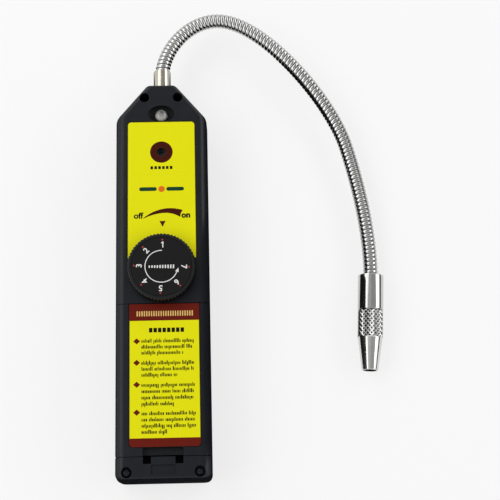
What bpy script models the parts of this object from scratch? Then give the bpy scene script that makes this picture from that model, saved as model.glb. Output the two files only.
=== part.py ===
"""Hand-held refrigerant leak detector with a gooseneck probe, lying on its back.

Sizes are in millimetres and are turned into metres when a mesh is made.
+X is the case's right side seen from the front, +Y points from the battery end
to the gooseneck and +Z points out of the front face. The origin is the middle
of the case's flat back face.
"""

import math

import bmesh
import bpy
from mathutils import Matrix, Vector
from mathutils.geometry import interpolate_bezier

MM = 0.001

# Case
HALF_WIDTH = 25.0
HALF_LENGTH = 107.5
DEPTH = 32.0
PARTING = DEPTH / 2
PARTING_GAP = 0.3
WALL = 2.2
TOP_HALF_FLAT = 8.5
SHOULDER_DROP = 19.6
SIDE_ROUND = 5.0
END_ROUND = 1.6
DRAFT = 0.4

# Play between pieces
GAP = 0.3
SEAT_GAP = 0.3
RUN_GAP = 0.1

# Battery cover
SEAM_UPPER = -16.1
SEAM_LOWER = 11.5 - HALF_LENGTH
SKIRT_BOTTOM = PARTING + 6.7
COVER_END_SLOPE = 1.2
NOTCH_WIDTH = 20.7
NOTCH_LENGTH = 4.8
NOTCH_DEPTH = 3.7
HOOK_X = 12.0

# End block and latch tongue
TONGUE_HALF = 6.2
SLOT_WIDTH = 4.1
SLOT_LENGTH = 3.5
TONGUE_END = 2.9 - HALF_LENGTH
TONGUE_RECESS = 0.8
TONGUE_BRIDGE = 0.5

# Labels
LABEL_WIDTH = 36.6
LABEL_TOP = HALF_LENGTH - 22.1
LABEL_BOTTOM = 6.8
LABEL_THICK = 0.3
LABEL_RECESS = 0.6
LABEL_CORNER = 2.0
COVER_LABEL_X = 1.0
COVER_LABEL_BOTTOM = SEAM_LOWER + 5.0
LABEL_EDGE_GAP = 0.3

# Indicator, buzzer and knob
LED_Y = HALF_LENGTH - 17.9
LED_RADIUS = 3.4
LED_TOP = DEPTH + 1.3
DISH_Y = LED_Y + 0.4
DISH_LENGTH = 9.5
DISH_WIDTH = 14.0
DISH_FLOOR = DEPTH - 1.4
BUZZER_Y = HALF_LENGTH - 39.7
BUZZER_HOLE = 2.55
BUZZER_RADIUS = 8.5
KNOB_Y = 2.0
KNOB_RADIUS = 17.9
KNOB_BOTTOM = DEPTH + 0.7
KNOB_TOP = KNOB_BOTTOM + 6.5
KNOB_FLUTES = 60
FLUTE_DEPTH = 0.45
KNOB_BEVEL = 0.9
KNOB_WALL = 1.8
DIAL_RADIUS = 15.9
DIAL_THICK = 0.4
SHAFT_RADIUS = 3.0
SHAFT_TOP = KNOB_TOP - 2.2
BUSH_RADIUS = 3.8
BUSH_TOP = DEPTH + 3.0
POT_RADIUS = 8.5
POT_TOP = DEPTH - WALL - 0.8
POT_NUT_FLATS = 11.0

# Main board and what lies on it
BOARD_BOTTOM = PARTING + 1.4
BOARD_THICK = 1.6
BOARD_TOP = BOARD_BOTTOM + BOARD_THICK
BOARD_HALF = 20.5
BOARD_LOW = KNOB_Y - 10.0
BOARD_TAPER = HALF_LENGTH - 25.5
BOARD_HIGH = HALF_LENGTH - 14.5
BOARD_TIP_HALF = 13.0
POST_X = 17.0
POST_YS = (KNOB_Y + 12.0, HALF_LENGTH - 28.5)
POST_RADIUS = 2.3
PILOT_DEPTH = 6.6
ROOM_OVER_BOARD = DEPTH - WALL - BOARD_TOP - SEAT_GAP
MODULE_HALF = 13.0
MODULE_LENGTH = 38.0
MODULE_TOP = BOARD_BOTTOM - 4.2

# Case screws
TOP_SCREW = (9.1, HALF_LENGTH - 7.8)
END_SCREW = (18.7, 3.8 - HALF_LENGTH)
TOP_SEAT = DEPTH - 10.0
END_SEAT = DEPTH - 3.4
BOSS_RADIUS = 3.3
BOSS_FLOOR = 1.4
TOP_COUNTERBORE = 2.45
END_COUNTERBORE = 2.8
SCREW_HEAD_RADIUS = 2.15
SCREW_HEAD_HEIGHT = 1.9
SCREW_RADIUS = 1.1
SCREW_LENGTH = TOP_SEAT - WALL - BOSS_FLOOR - 0.4

# Batteries
CELL_RADIUS = 7.25
CELL_LENGTH = 50.5
CELL_NUB_RADIUS = 2.75
CELL_NUB = 1.3
CELL_PITCH = 2 * CELL_RADIUS + GAP
CELL_Z = DEPTH - WALL - 2.95 - CELL_RADIUS
CONTACT_THICK = 0.4
CONTACT_SIZE = 12.0
SPRING_LENGTH = 7.3
SPRING_WIRE = 0.4
BAY_HIGH = SEAM_UPPER - 5.2
BAY_LOW = BAY_HIGH - CELL_LENGTH - SPRING_LENGTH - 2 * CONTACT_THICK - 5 * SEAT_GAP
BAY_WALL = 1.6
BAY_WALL_TOP = CELL_Z + CONTACT_SIZE / 2 + 0.4
CRADLE_STEP = 18.0
CRADLE_TOP = CELL_Z - 4.2

# Ferrule and neck
NECK_Z = PARTING
FERRULE_TOP = HALF_LENGTH + 13.8
FERRULE_BASE_RADIUS = 5.2
FERRULE_TOP_RADIUS = 4.7
FERRULE_SHANK_RADIUS = 4.0
FERRULE_SHANK_END = HALF_LENGTH - 6.5
NECK_NUT_FLATS = 10.8
NECK_NUT_THICK = 2.7
NECK_RADIUS = 4.05
NECK_GROOVE = 0.55
NECK_BORE = 2.3
NECK_PITCH = 2.3
NECK_SEAT = 3.0
LEAD_RADIUS = 1.2
LEAD_TAIL = 6.0
NECK_RISE = 31.6
NECK_REACH = 113.5
NECK_FALL = 118.5

# Probe head
TIP_RADIUS = 7.0
TIP_CENTRE = (NECK_REACH, FERRULE_TOP - NECK_FALL)
TIP_LEAN = math.radians(3.3)
SOCKET_LENGTH = 19.5
SPIGOT_RADIUS = 5.7
SPIGOT_END = SOCKET_LENGTH + 5.5
KNURL_END = SOCKET_LENGTH + 15.5
GUARD_END = SOCKET_LENGTH + 33.2
GUARD_MOUTH_RADIUS = 4.4
GUARD_MOUTH_BORE = 3.6
KNURL_COUNT = 20
KNURL_DEPTH = 0.35
HOLDER_RADIUS = 4.6

# Joints
KNOB_AXIS = Vector((0.0, KNOB_Y, 0.0))
COVER_AXIS = Vector((0.0, SEAM_UPPER, DEPTH))
NECK_PIVOT = Vector((NECK_REACH * 0.546, FERRULE_TOP + 17.2, NECK_Z * 0.8))


def clear_scene():
    """Remove whatever the file starts with."""
    for obj in list(bpy.data.objects):
        bpy.data.objects.remove(obj, do_unlink=True)


def make_material(name, colour, metallic, roughness):
    """Return a Principled material with a plain colour."""
    material = bpy.data.materials.new(name)
    material.use_nodes = True
    shader = material.node_tree.nodes["Principled BSDF"]
    shader.inputs["Base Color"].default_value = (*colour, 1.0)
    shader.inputs["Metallic"].default_value = metallic
    shader.inputs["Roughness"].default_value = roughness
    return material


def finish(name, bm, collection, material=None):
    """Turn a bmesh in millimetres into an object in metres."""
    bmesh.ops.recalc_face_normals(bm, faces=bm.faces)
    bmesh.ops.scale(bm, vec=(MM, MM, MM), verts=bm.verts)
    mesh = bpy.data.meshes.new(name)
    bm.to_mesh(mesh)
    bm.free()
    obj = bpy.data.objects.new(name, mesh)
    collection.objects.link(obj)
    if material is None:
        obj.hide_render = True
        obj.display_type = "WIRE"
    else:
        mesh.materials.append(material)
    return obj


def boolean(target, tool, operation="DIFFERENCE"):
    """Join a tool to a target, or cut the target with it."""
    modifier = target.modifiers.new(f"{operation.lower()}_{tool.name}", "BOOLEAN")
    modifier.operation = operation
    modifier.solver = "EXACT"
    modifier.object = tool


def joint_empty(name, point, collection):
    """Make an empty on a joint's axis, for the pieces that move with it."""
    empty = bpy.data.objects.new(name, None)
    empty.location = point * MM
    empty.empty_display_size = 0.02
    collection.objects.link(empty)
    return empty


def carry(empty, *objects):
    """Parent pieces to a joint's empty without moving them."""
    for obj in objects:
        obj.parent = empty
        obj.matrix_parent_inverse = Matrix.Translation(-empty.location)


def box(bm, low, high):
    """Add a box between two corners."""
    low, high = Vector(low), Vector(high)
    middle, size = (low + high) / 2, high - low
    matrix = Matrix.Translation(middle) @ Matrix.Diagonal((*size, 1.0))
    bmesh.ops.create_cube(bm, size=1.0, matrix=matrix)


def rod(bm, x, y, radius, low, high, segments=20):
    """Add an upright cylinder."""
    matrix = Matrix.Translation((x, y, (low + high) / 2))
    bmesh.ops.create_cone(
        bm, cap_ends=True, segments=segments, radius1=radius, radius2=radius,
        depth=high - low, matrix=matrix,
    )


def turned(name, profile, place, segments, closed, collection, material=None, axis="Z"):
    """Turn a profile of (radius, height) pairs, bottom to top, into an object."""
    mesh = bpy.data.meshes.new(name)
    points = [(r * MM, 0.0, h * MM) for r, h in reversed(profile)]
    if axis == "X":
        points = [(h, 0.0, r) for r, _, h in points]
    edges = [(i, i + 1) for i in range(len(points) - 1)]
    if closed:
        edges.append((len(points) - 1, 0))
    mesh.from_pydata(points, edges, [])
    obj = bpy.data.objects.new(name, mesh)
    collection.objects.link(obj)
    if material is None:
        obj.hide_render = True
        obj.display_type = "WIRE"
    else:
        mesh.materials.append(material)
    screw = obj.modifiers.new("turn", "SCREW")
    screw.axis = axis
    screw.steps = segments
    screw.render_steps = segments
    screw.use_merge_vertices = True
    screw.merge_threshold = 1e-6
    turn = place.to_3x3().to_4x4()
    obj.matrix_world = Matrix.Translation(place.to_translation() * MM) @ turn
    return obj


def prism(bm, points, low, high):
    """Add an upright prism over a ring of (x, y) points."""
    verts = [bm.verts.new((x, y, low)) for x, y in points]
    base = bm.faces.new(verts)
    raised = bmesh.ops.extrude_face_region(bm, geom=[base], use_keep_orig=True)["geom"]
    tops = [item for item in raised if isinstance(item, bmesh.types.BMVert)]
    bmesh.ops.translate(bm, vec=(0, 0, high - low), verts=tops)


def loft(bm, rings):
    """Add a closed body through rings that have equal numbers of points."""
    loops = [[bm.verts.new(point) for point in ring] for ring in rings]
    count = len(loops[0])
    for lower, upper in zip(loops, loops[1:]):
        for i in range(count):
            j = (i + 1) % count
            bm.faces.new((lower[i], lower[j], upper[j], upper[i]))
    bm.faces.new(list(reversed(loops[0])))
    bm.faces.new(loops[-1])


def rounded(corners, segments):
    """Return the ring of a convex polygon given as (x, y, radius), rounded."""
    ring = []
    count = len(corners)
    for i, (x, y, radius) in enumerate(corners):
        here = Vector((x, y))
        before = (Vector(corners[i - 1][:2]) - here).normalized()
        after = (Vector(corners[(i + 1) % count][:2]) - here).normalized()
        half = before.angle(after) / 2
        reach = radius / math.tan(half)
        centre = here + (before + after).normalized() * (radius / math.sin(half))
        first = here + before * reach - centre
        last = here + after * reach - centre
        turn = first.angle_signed(last)
        for k in range(segments + 1):
            angle = -turn * k / segments
            spoke = Vector((
                first.x * math.cos(angle) - first.y * math.sin(angle),
                first.x * math.sin(angle) + first.y * math.cos(angle),
            ))
            ring.append(tuple(centre + spoke))
    return ring


def case_ring(side, end, height, segments=3):
    """Return the case's outline, drawn in by a side inset and an end inset."""
    half = HALF_WIDTH - side
    top = HALF_LENGTH - end
    run = HALF_WIDTH - TOP_HALF_FLAT
    rise = SHOULDER_DROP
    length = math.hypot(run, rise)
    slant = (side + end) / 2 * length
    level = HALF_LENGTH - SHOULDER_DROP
    constant = rise * HALF_WIDTH + run * level - slant
    shoulder = (constant - rise * half) / run
    flat = (constant - run * top) / rise
    corners = [
        (half, -top, 3.0), (half, shoulder, 6.0), (flat, top, 2.5),
        (-flat, top, 2.5), (-half, shoulder, 6.0), (-half, -top, 3.0),
    ]
    return [(x, y, height) for x, y in rounded(corners, segments)]


def rounding(radius, rise):
    """Return the inset of a rounded edge at a rise above its start."""
    if rise <= 0:
        return 0.0
    return radius - math.sqrt(max(radius ** 2 - rise ** 2, 0.0))


def half_case(bm, low, high, outward):
    """Add one half of the case's outside between two levels.

    The levels are measured from the parting plane towards the face.
    """
    depth = DEPTH - PARTING
    levels = [low]
    for share in (0.0, 0.4, 0.68, 0.86, 0.96):
        levels.append(depth - SIDE_ROUND * (1 - share))
    levels.append(high)
    levels = [level for level in levels if low <= level <= high]
    rings = []
    for level in sorted(set(levels)):
        drawn = DRAFT * level / depth
        side = drawn + rounding(SIDE_ROUND, level - depth + SIDE_ROUND)
        end = drawn + rounding(END_ROUND, level - depth + END_ROUND)
        rings.append(case_ring(side, end, PARTING + outward * level))
    if outward < 0:
        rings.reverse()
    loft(bm, rings)


def half_hollow(bm, low, outward):
    """Add the hollow of one half of the case, open at the parting plane."""
    depth = DEPTH - PARTING
    rings = []
    for level, extra in ((low, 0.0), (depth - 6.0, 0.3), (depth - 3.6, 1.3), (depth - WALL, 3.4)):
        rings.append(case_ring(WALL + extra, WALL + extra * 0.2, PARTING + outward * level))
    if outward < 0:
        rings.reverse()
    loft(bm, rings)


def label_ring(width, low, high, x=0.0, corner=LABEL_CORNER):
    """Return the outline of a label."""
    half = width / 2
    corners = [
        (x + half, low, corner), (x + half, high, corner),
        (x - half, high, corner), (x - half, low, corner),
    ]
    return rounded(corners, 3)


def both_sides(position):
    """Return a position and its mirror image in the middle plane."""
    x, y = position
    return ((x, y), (-x, y))


def nut(name, place, flats, bore, low, high, parts, cutters, material):
    """Make a nut: a hexagonal prism with a bore, about local Z."""
    bm = bmesh.new()
    matrix = place @ Matrix.Translation((0, 0, (low + high) / 2))
    turn = Matrix.Rotation(math.radians(30), 4, "Z")
    bmesh.ops.create_cone(
        bm, cap_ends=True, segments=6, radius1=flats / math.sqrt(3),
        radius2=flats / math.sqrt(3), depth=high - low, matrix=matrix @ turn,
    )
    obj = finish(name, bm, parts, material)
    bm = bmesh.new()
    bmesh.ops.create_cone(
        bm, cap_ends=True, segments=16, radius1=bore, radius2=bore,
        depth=high - low + 2, matrix=matrix,
    )
    boolean(obj, finish(f"cut_{name}", bm, cutters))
    return obj


def front_shell(parts, cutters, material):
    """Front half of the case with its end block, latch tongue and board posts."""
    bm = bmesh.new()
    half_case(bm, PARTING_GAP / 2, DEPTH - PARTING, 1)
    shell = finish("front_shell", bm, parts, material)

    bm = bmesh.new()
    half_hollow(bm, -1.0, 1)
    boolean(shell, finish("cut_front_hollow", bm, cutters))

    bm = bmesh.new()
    for x, y in both_sides(TOP_SCREW):
        rod(bm, x, y, BOSS_RADIUS, PARTING + PARTING_GAP / 2, DEPTH - WALL + 0.4, 14)
    for x, y in both_sides(END_SCREW):
        rod(bm, x, y, BOSS_RADIUS, PARTING + PARTING_GAP / 2, DEPTH - WALL + 0.4, 14)
    for y in POST_YS:
        for x in (POST_X, -POST_X):
            rod(bm, x, y, POST_RADIUS, BOARD_TOP + SEAT_GAP, DEPTH - WALL + 0.4, 12)
    boolean(shell, finish("add_front_bosses", bm, cutters), "UNION")

    bm = bmesh.new()
    rod(bm, 0, LED_Y, 8.0, DEPTH - WALL - 1.6, DEPTH - WALL + 0.4, 28)
    boolean(shell, finish("add_led_pad", bm, cutters), "UNION")

    bm = bmesh.new()
    inside = HALF_WIDTH - WALL + 0.2
    wall = SEAM_LOWER - SLOT_LENGTH - 0.9
    box(bm, (-inside, wall - BAY_WALL, SKIRT_BOTTOM - 4.0), (inside, wall, DEPTH - WALL + 0.4))
    boolean(shell, finish("add_end_wall", bm, cutters), "UNION")

    bm = bmesh.new()
    box(bm, (-30, SEAM_LOWER, SKIRT_BOTTOM), (30, SEAM_UPPER, DEPTH + 5))
    boolean(shell, finish("cut_cover_opening", bm, cutters))

    bm = bmesh.new()
    prism(bm, label_ring(LABEL_WIDTH + 2 * LABEL_EDGE_GAP, LABEL_BOTTOM - LABEL_EDGE_GAP,
                         LABEL_TOP + LABEL_EDGE_GAP, corner=LABEL_CORNER + LABEL_EDGE_GAP),
          DEPTH - LABEL_RECESS, DEPTH + 1)
    boolean(shell, finish("cut_label_recess", bm, cutters))

    bm = bmesh.new()
    ring = []
    for k in range(28):
        angle = math.tau * k / 28
        ring.append((DISH_WIDTH / 2 * math.cos(angle), DISH_LENGTH / 2 * math.sin(angle)))
    loft(bm, [
        [(x * 0.72, DISH_Y + y * 0.86, DISH_FLOOR) for x, y in ring],
        [(x, DISH_Y + y, DEPTH) for x, y in ring],
        [(x * 1.1, DISH_Y + y * 1.1, DEPTH + 0.6) for x, y in ring],
    ])
    boolean(shell, finish("cut_led_dish", bm, cutters))

    bm = bmesh.new()
    rod(bm, 0, LED_Y, LED_RADIUS + GAP, DEPTH - 8, DEPTH + 1, 20)
    rod(bm, 0, BUZZER_Y, BUZZER_HOLE, DEPTH - 5, DEPTH + 1, 20)
    rod(bm, 0, KNOB_Y, BUSH_RADIUS + GAP, DEPTH - 5, DEPTH + 1, 20)
    for x, y in both_sides(TOP_SCREW):
        rod(bm, x, y, TOP_COUNTERBORE, TOP_SEAT, DEPTH + 1, 20)
    for x, y in both_sides(END_SCREW):
        rod(bm, x, y, END_COUNTERBORE, END_SEAT, DEPTH + 1, 20)
    boolean(shell, finish("cut_front_holes", bm, cutters))

    bm = bmesh.new()
    for x, y in both_sides(TOP_SCREW):
        rod(bm, x, y, SCREW_RADIUS + GAP, PARTING - 1, TOP_SEAT + 1, 10)
    for x, y in both_sides(END_SCREW):
        rod(bm, x, y, SCREW_RADIUS + GAP, PARTING - 1, END_SEAT + 1, 10)
    for y in POST_YS:
        for x in (POST_X, -POST_X):
            rod(bm, x, y, 1.0, BOARD_TOP - 1, BOARD_TOP + PILOT_DEPTH, 8)
    boolean(shell, finish("cut_front_bores", bm, cutters))

    bm = bmesh.new()
    for side in (1, -1):
        a, b = sorted((side * TONGUE_HALF, side * (TONGUE_HALF + SLOT_WIDTH)))
        box(bm, (a, SEAM_LOWER - SLOT_LENGTH, DEPTH - 6), (b, SEAM_LOWER + 1, DEPTH + 1))
    boolean(shell, finish("cut_latch_slots", bm, cutters))

    bm = bmesh.new()
    box(bm, (-TONGUE_HALF, TONGUE_END, DEPTH - TONGUE_RECESS),
        (TONGUE_HALF, SEAM_LOWER - SLOT_LENGTH - TONGUE_BRIDGE, DEPTH + 1))
    boolean(shell, finish("cut_tongue_recess", bm, cutters))

    boolean(shell, cutters.objects["cut_neck_hole"])
    return shell


def rear_shell(parts, cutters, material):
    """Back half of the case with screw bosses, bay walls and cell cradles."""
    bm = bmesh.new()
    half_case(bm, PARTING_GAP / 2, DEPTH - PARTING, -1)
    shell = finish("rear_shell", bm, parts, material)

    bm = bmesh.new()
    half_hollow(bm, -1.0, -1)
    boolean(shell, finish("cut_rear_hollow", bm, cutters))

    bm = bmesh.new()
    top = PARTING - PARTING_GAP / 2
    for x, y in both_sides(TOP_SCREW) + both_sides(END_SCREW):
        rod(bm, x, y, BOSS_RADIUS, WALL - 0.4, top, 14)
    boolean(shell, finish("add_rear_bosses", bm, cutters), "UNION")

    bm = bmesh.new()
    half = HALF_WIDTH - WALL - 1.0
    for low, high in ((BAY_HIGH, BAY_HIGH + BAY_WALL), (BAY_LOW - BAY_WALL, BAY_LOW)):
        box(bm, (-half, low, WALL - 0.4), (half, high, BAY_WALL_TOP))
    boolean(shell, finish("add_bay_walls", bm, cutters), "UNION")

    bm = bmesh.new()
    middle = (BAY_HIGH + BAY_LOW) / 2
    for y in (middle - CRADLE_STEP, middle, middle + CRADLE_STEP):
        box(bm, (-half, y - 0.8, WALL - 0.4), (half, y + 0.8, CRADLE_TOP))
    boolean(shell, finish("add_cradles", bm, cutters), "UNION")

    bm = bmesh.new()
    for k in (-1, 0, 1):
        matrix = Matrix.Translation((k * CELL_PITCH, middle, CELL_Z)) @ Matrix.Rotation(
            math.radians(90), 4, "X")
        bmesh.ops.create_cone(
            bm, cap_ends=True, segments=20, radius1=CELL_RADIUS + GAP,
            radius2=CELL_RADIUS + GAP, depth=2 * CRADLE_STEP + 10, matrix=matrix,
        )
    boolean(shell, finish("cut_cradles", bm, cutters))

    bm = bmesh.new()
    for x, y in both_sides(TOP_SCREW) + both_sides(END_SCREW):
        rod(bm, x, y, SCREW_RADIUS + GAP, WALL + BOSS_FLOOR, PARTING + 1, 10)
    boolean(shell, finish("cut_rear_bores", bm, cutters))

    boolean(shell, cutters.objects["cut_neck_hole"])
    return shell


def neck_hole(cutters):
    """Cutter of the hole that the two shells share at the top end."""
    bm = bmesh.new()
    matrix = Matrix.Translation((0, HALF_LENGTH - 1, NECK_Z)) @ Matrix.Rotation(
        math.radians(90), 4, "X")
    radius = FERRULE_SHANK_RADIUS + GAP
    bmesh.ops.create_cone(
        bm, cap_ends=True, segments=32, radius1=radius, radius2=radius, depth=6, matrix=matrix,
    )
    finish("cut_neck_hole", bm, cutters)


def battery_cover(parts, cutters, material):
    """Cover over the batteries with two hooks at its top and a finger notch."""
    bm = bmesh.new()
    half_case(bm, SKIRT_BOTTOM + GAP - PARTING, DEPTH - PARTING, 1)
    cover = finish("battery_cover", bm, parts, material)

    bm = bmesh.new()
    half_hollow(bm, -1.0, 1)
    boolean(cover, finish("cut_cover_hollow", bm, cutters))

    bm = bmesh.new()
    low, high = SEAM_LOWER + GAP, SEAM_UPPER - GAP
    slope = COVER_END_SLOPE
    loft(bm, [
        [(-30, low + slope, SKIRT_BOTTOM - 1), (30, low + slope, SKIRT_BOTTOM - 1),
         (30, high, SKIRT_BOTTOM - 1), (-30, high, SKIRT_BOTTOM - 1)],
        [(-30, low, DEPTH - 0.5), (30, low, DEPTH - 0.5),
         (30, high, DEPTH - 0.5), (-30, high, DEPTH - 0.5)],
        [(-30, low, DEPTH + 1), (30, low, DEPTH + 1),
         (30, high, DEPTH + 1), (-30, high, DEPTH + 1)],
    ])
    boolean(cover, finish("keep_cover_length", bm, cutters), "INTERSECT")

    bm = bmesh.new()
    pad = NOTCH_WIDTH / 2 + 1.6
    floor = DEPTH - NOTCH_DEPTH
    loft(bm, [
        [(-pad, low + 1.0, floor - 1.4), (pad, low + 1.0, floor - 1.4),
         (pad, low + 7.0, floor - 1.4), (-pad, low + 7.0, floor - 1.4)],
        [(-pad, low + 0.4, DEPTH - WALL + 0.4), (pad, low + 0.4, DEPTH - WALL + 0.4),
         (pad, low + 7.0, DEPTH - WALL + 0.4), (-pad, low + 7.0, DEPTH - WALL + 0.4)],
    ])
    boolean(cover, finish("add_notch_pad", bm, cutters), "UNION")

    bm = bmesh.new()
    half = NOTCH_WIDTH / 2
    box(bm, (-half, SEAM_LOWER - 1, floor), (half, SEAM_LOWER + NOTCH_LENGTH, DEPTH + 1))
    boolean(cover, finish("cut_finger_notch", bm, cutters))

    bm = bmesh.new()
    for side in (1, -1):
        x = side * HOOK_X
        box(bm, (x - 3, high - 2.6, DEPTH - WALL - 2.2), (x + 3, high - 0.2, DEPTH - WALL + 0.4))
    boolean(cover, finish("add_hook_roots", bm, cutters), "UNION")

    bm = bmesh.new()
    for side in (1, -1):
        x = side * HOOK_X
        box(bm, (x - 3, high - 2.0, DEPTH - WALL - 2.2), (x + 3, high + 2.9, DEPTH - WALL - 0.5))
    boolean(cover, finish("add_hooks", bm, cutters), "UNION")

    bm = bmesh.new()
    prism(bm, label_ring(LABEL_WIDTH + 2 * LABEL_EDGE_GAP, COVER_LABEL_BOTTOM - LABEL_EDGE_GAP,
                         SEAM_UPPER + 4, COVER_LABEL_X, LABEL_CORNER + LABEL_EDGE_GAP),
          DEPTH - LABEL_RECESS, DEPTH + 1)
    boolean(cover, finish("cut_cover_label_recess", bm, cutters))
    return cover


def labels(parts, cutters, materials):
    """The two printed labels in their shallow recesses."""
    bm = bmesh.new()
    prism(bm, label_ring(LABEL_WIDTH, LABEL_BOTTOM, LABEL_TOP), DEPTH - LABEL_THICK, DEPTH)
    label = finish("front_label", bm, parts, materials["label"])
    bm = bmesh.new()
    rod(bm, 0, BUZZER_Y, BUZZER_HOLE, DEPTH - 5, DEPTH + 1, 20)
    boolean(label, finish("cut_label_hole", bm, cutters))
    bm = bmesh.new()
    rod(bm, 0, KNOB_Y, KNOB_RADIUS / 2, DEPTH - 5, DEPTH + 1, 20)
    boolean(label, finish("cut_label_knob", bm, cutters))

    bm = bmesh.new()
    half = LABEL_WIDTH / 2
    corners = [
        (COVER_LABEL_X + half, COVER_LABEL_BOTTOM, LABEL_CORNER),
        (COVER_LABEL_X + half, SEAM_UPPER - GAP - 0.1, 0.2),
        (COVER_LABEL_X - half, SEAM_UPPER - GAP - 0.1, 0.2),
        (COVER_LABEL_X - half, COVER_LABEL_BOTTOM, LABEL_CORNER),
    ]
    prism(bm, rounded(corners, 3), DEPTH - LABEL_THICK, DEPTH)
    return finish("cover_label", bm, parts, materials["label"])


def indicator_and_buzzer(parts, materials):
    """Indicator lamp, its spacer and the buzzer."""
    place = Matrix.Translation((0, LED_Y, 0))
    r = LED_RADIUS
    base = DEPTH - WALL - 1.6 - SEAT_GAP
    profile = [(0, base - 1.6), (r + 0.9, base - 1.6), (r + 0.9, base), (r, base)]
    spring_line = LED_TOP - r * 0.75
    for k in range(5):
        angle = math.radians(18 * k)
        profile.append((r * math.cos(angle), spring_line + r * 0.75 * math.sin(angle)))
    profile.append((0, LED_TOP))
    turned("led_lens", profile, place, 20, False, parts, materials["lens"])

    top = base - 1.6 - SEAT_GAP
    bottom = BOARD_TOP + SEAT_GAP
    profile = [(1.6, bottom), (4.0, bottom), (4.0, top), (1.6, top)]
    turned("led_holder", profile, place, 16, True, parts, materials["black"])

    place = Matrix.Translation((0, BUZZER_Y, 0))
    top = DEPTH - WALL - SEAT_GAP
    turned("buzzer", [
        (0, bottom), (BUZZER_RADIUS, bottom), (BUZZER_RADIUS, top - 0.5),
        (BUZZER_RADIUS - 0.5, top), (1.4, top), (1.4, top - 1.5), (0, top - 1.5),
    ], place, 20, False, parts, materials["black"])


def control(parts, cutters, materials):
    """Potentiometer, its nut and shaft, the fluted knob and its dial plate."""
    place = Matrix.Translation((0, KNOB_Y, 0))
    bore = SHAFT_RADIUS + RUN_GAP
    low = BOARD_TOP + SEAT_GAP
    turned("potentiometer", [
        (0, low), (POT_RADIUS, low), (POT_RADIUS, POT_TOP), (BUSH_RADIUS, POT_TOP),
        (BUSH_RADIUS, BUSH_TOP), (bore, BUSH_TOP), (bore, low + 4), (0, low + 4),
    ], place, 20, False, parts, materials["steel"])

    nut("pot_nut", place, POT_NUT_FLATS, BUSH_RADIUS + 0.2, DEPTH + GAP, DEPTH + 2.3,
        parts, cutters, materials["steel"])

    shaft = turned("pot_shaft", [
        (0, low + 4 + SEAT_GAP), (SHAFT_RADIUS, low + 4 + SEAT_GAP),
        (SHAFT_RADIUS, SHAFT_TOP - 0.4), (SHAFT_RADIUS - 0.4, SHAFT_TOP), (0, SHAFT_TOP),
    ], place, 16, False, parts, materials["steel"])

    bm = bmesh.new()
    rings = []
    spokes = KNOB_FLUTES * 2
    for radius, level, depth in (
        (KNOB_RADIUS, KNOB_BOTTOM, FLUTE_DEPTH),
        (KNOB_RADIUS, KNOB_TOP - KNOB_BEVEL, FLUTE_DEPTH),
        (KNOB_RADIUS - KNOB_BEVEL, KNOB_TOP, 0.0),
    ):
        ring = []
        for k in range(spokes):
            angle = math.tau * k / spokes
            reach = radius - depth * (k % 2)
            ring.append((reach * math.cos(angle), KNOB_Y + reach * math.sin(angle), level))
        rings.append(ring)
    loft(bm, rings)
    knob = finish("sensitivity_knob", bm, parts, materials["black"])

    inner = KNOB_RADIUS - KNOB_WALL
    roof = KNOB_TOP - 2.4
    boolean(knob, turned("cut_knob_hollow", [
        (7.2, KNOB_BOTTOM - 1), (inner, KNOB_BOTTOM - 1), (inner, roof), (7.2, roof),
    ], place, 32, True, cutters))
    bm = bmesh.new()
    rod(bm, 0, KNOB_Y, SHAFT_RADIUS + 0.2, BUSH_TOP - 1, SHAFT_TOP + SEAT_GAP, 24)
    boolean(knob, finish("cut_knob_bore", bm, cutters))
    bm = bmesh.new()
    rod(bm, 0, KNOB_Y, POT_NUT_FLATS / 2 + 1.4, KNOB_BOTTOM - 1, BUSH_TOP + GAP, 24)
    boolean(knob, finish("cut_knob_bush", bm, cutters))
    bm = bmesh.new()
    rod(bm, 0, KNOB_Y, DIAL_RADIUS + GAP, KNOB_TOP - DIAL_THICK - SEAT_GAP, KNOB_TOP + 1, 48)
    boolean(knob, finish("cut_dial_recess", bm, cutters))

    bm = bmesh.new()
    rod(bm, 0, KNOB_Y, DIAL_RADIUS, KNOB_TOP - DIAL_THICK, KNOB_TOP, 48)
    dial = finish("dial_plate", bm, parts, materials["black"])
    return knob, dial, shaft


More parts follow.
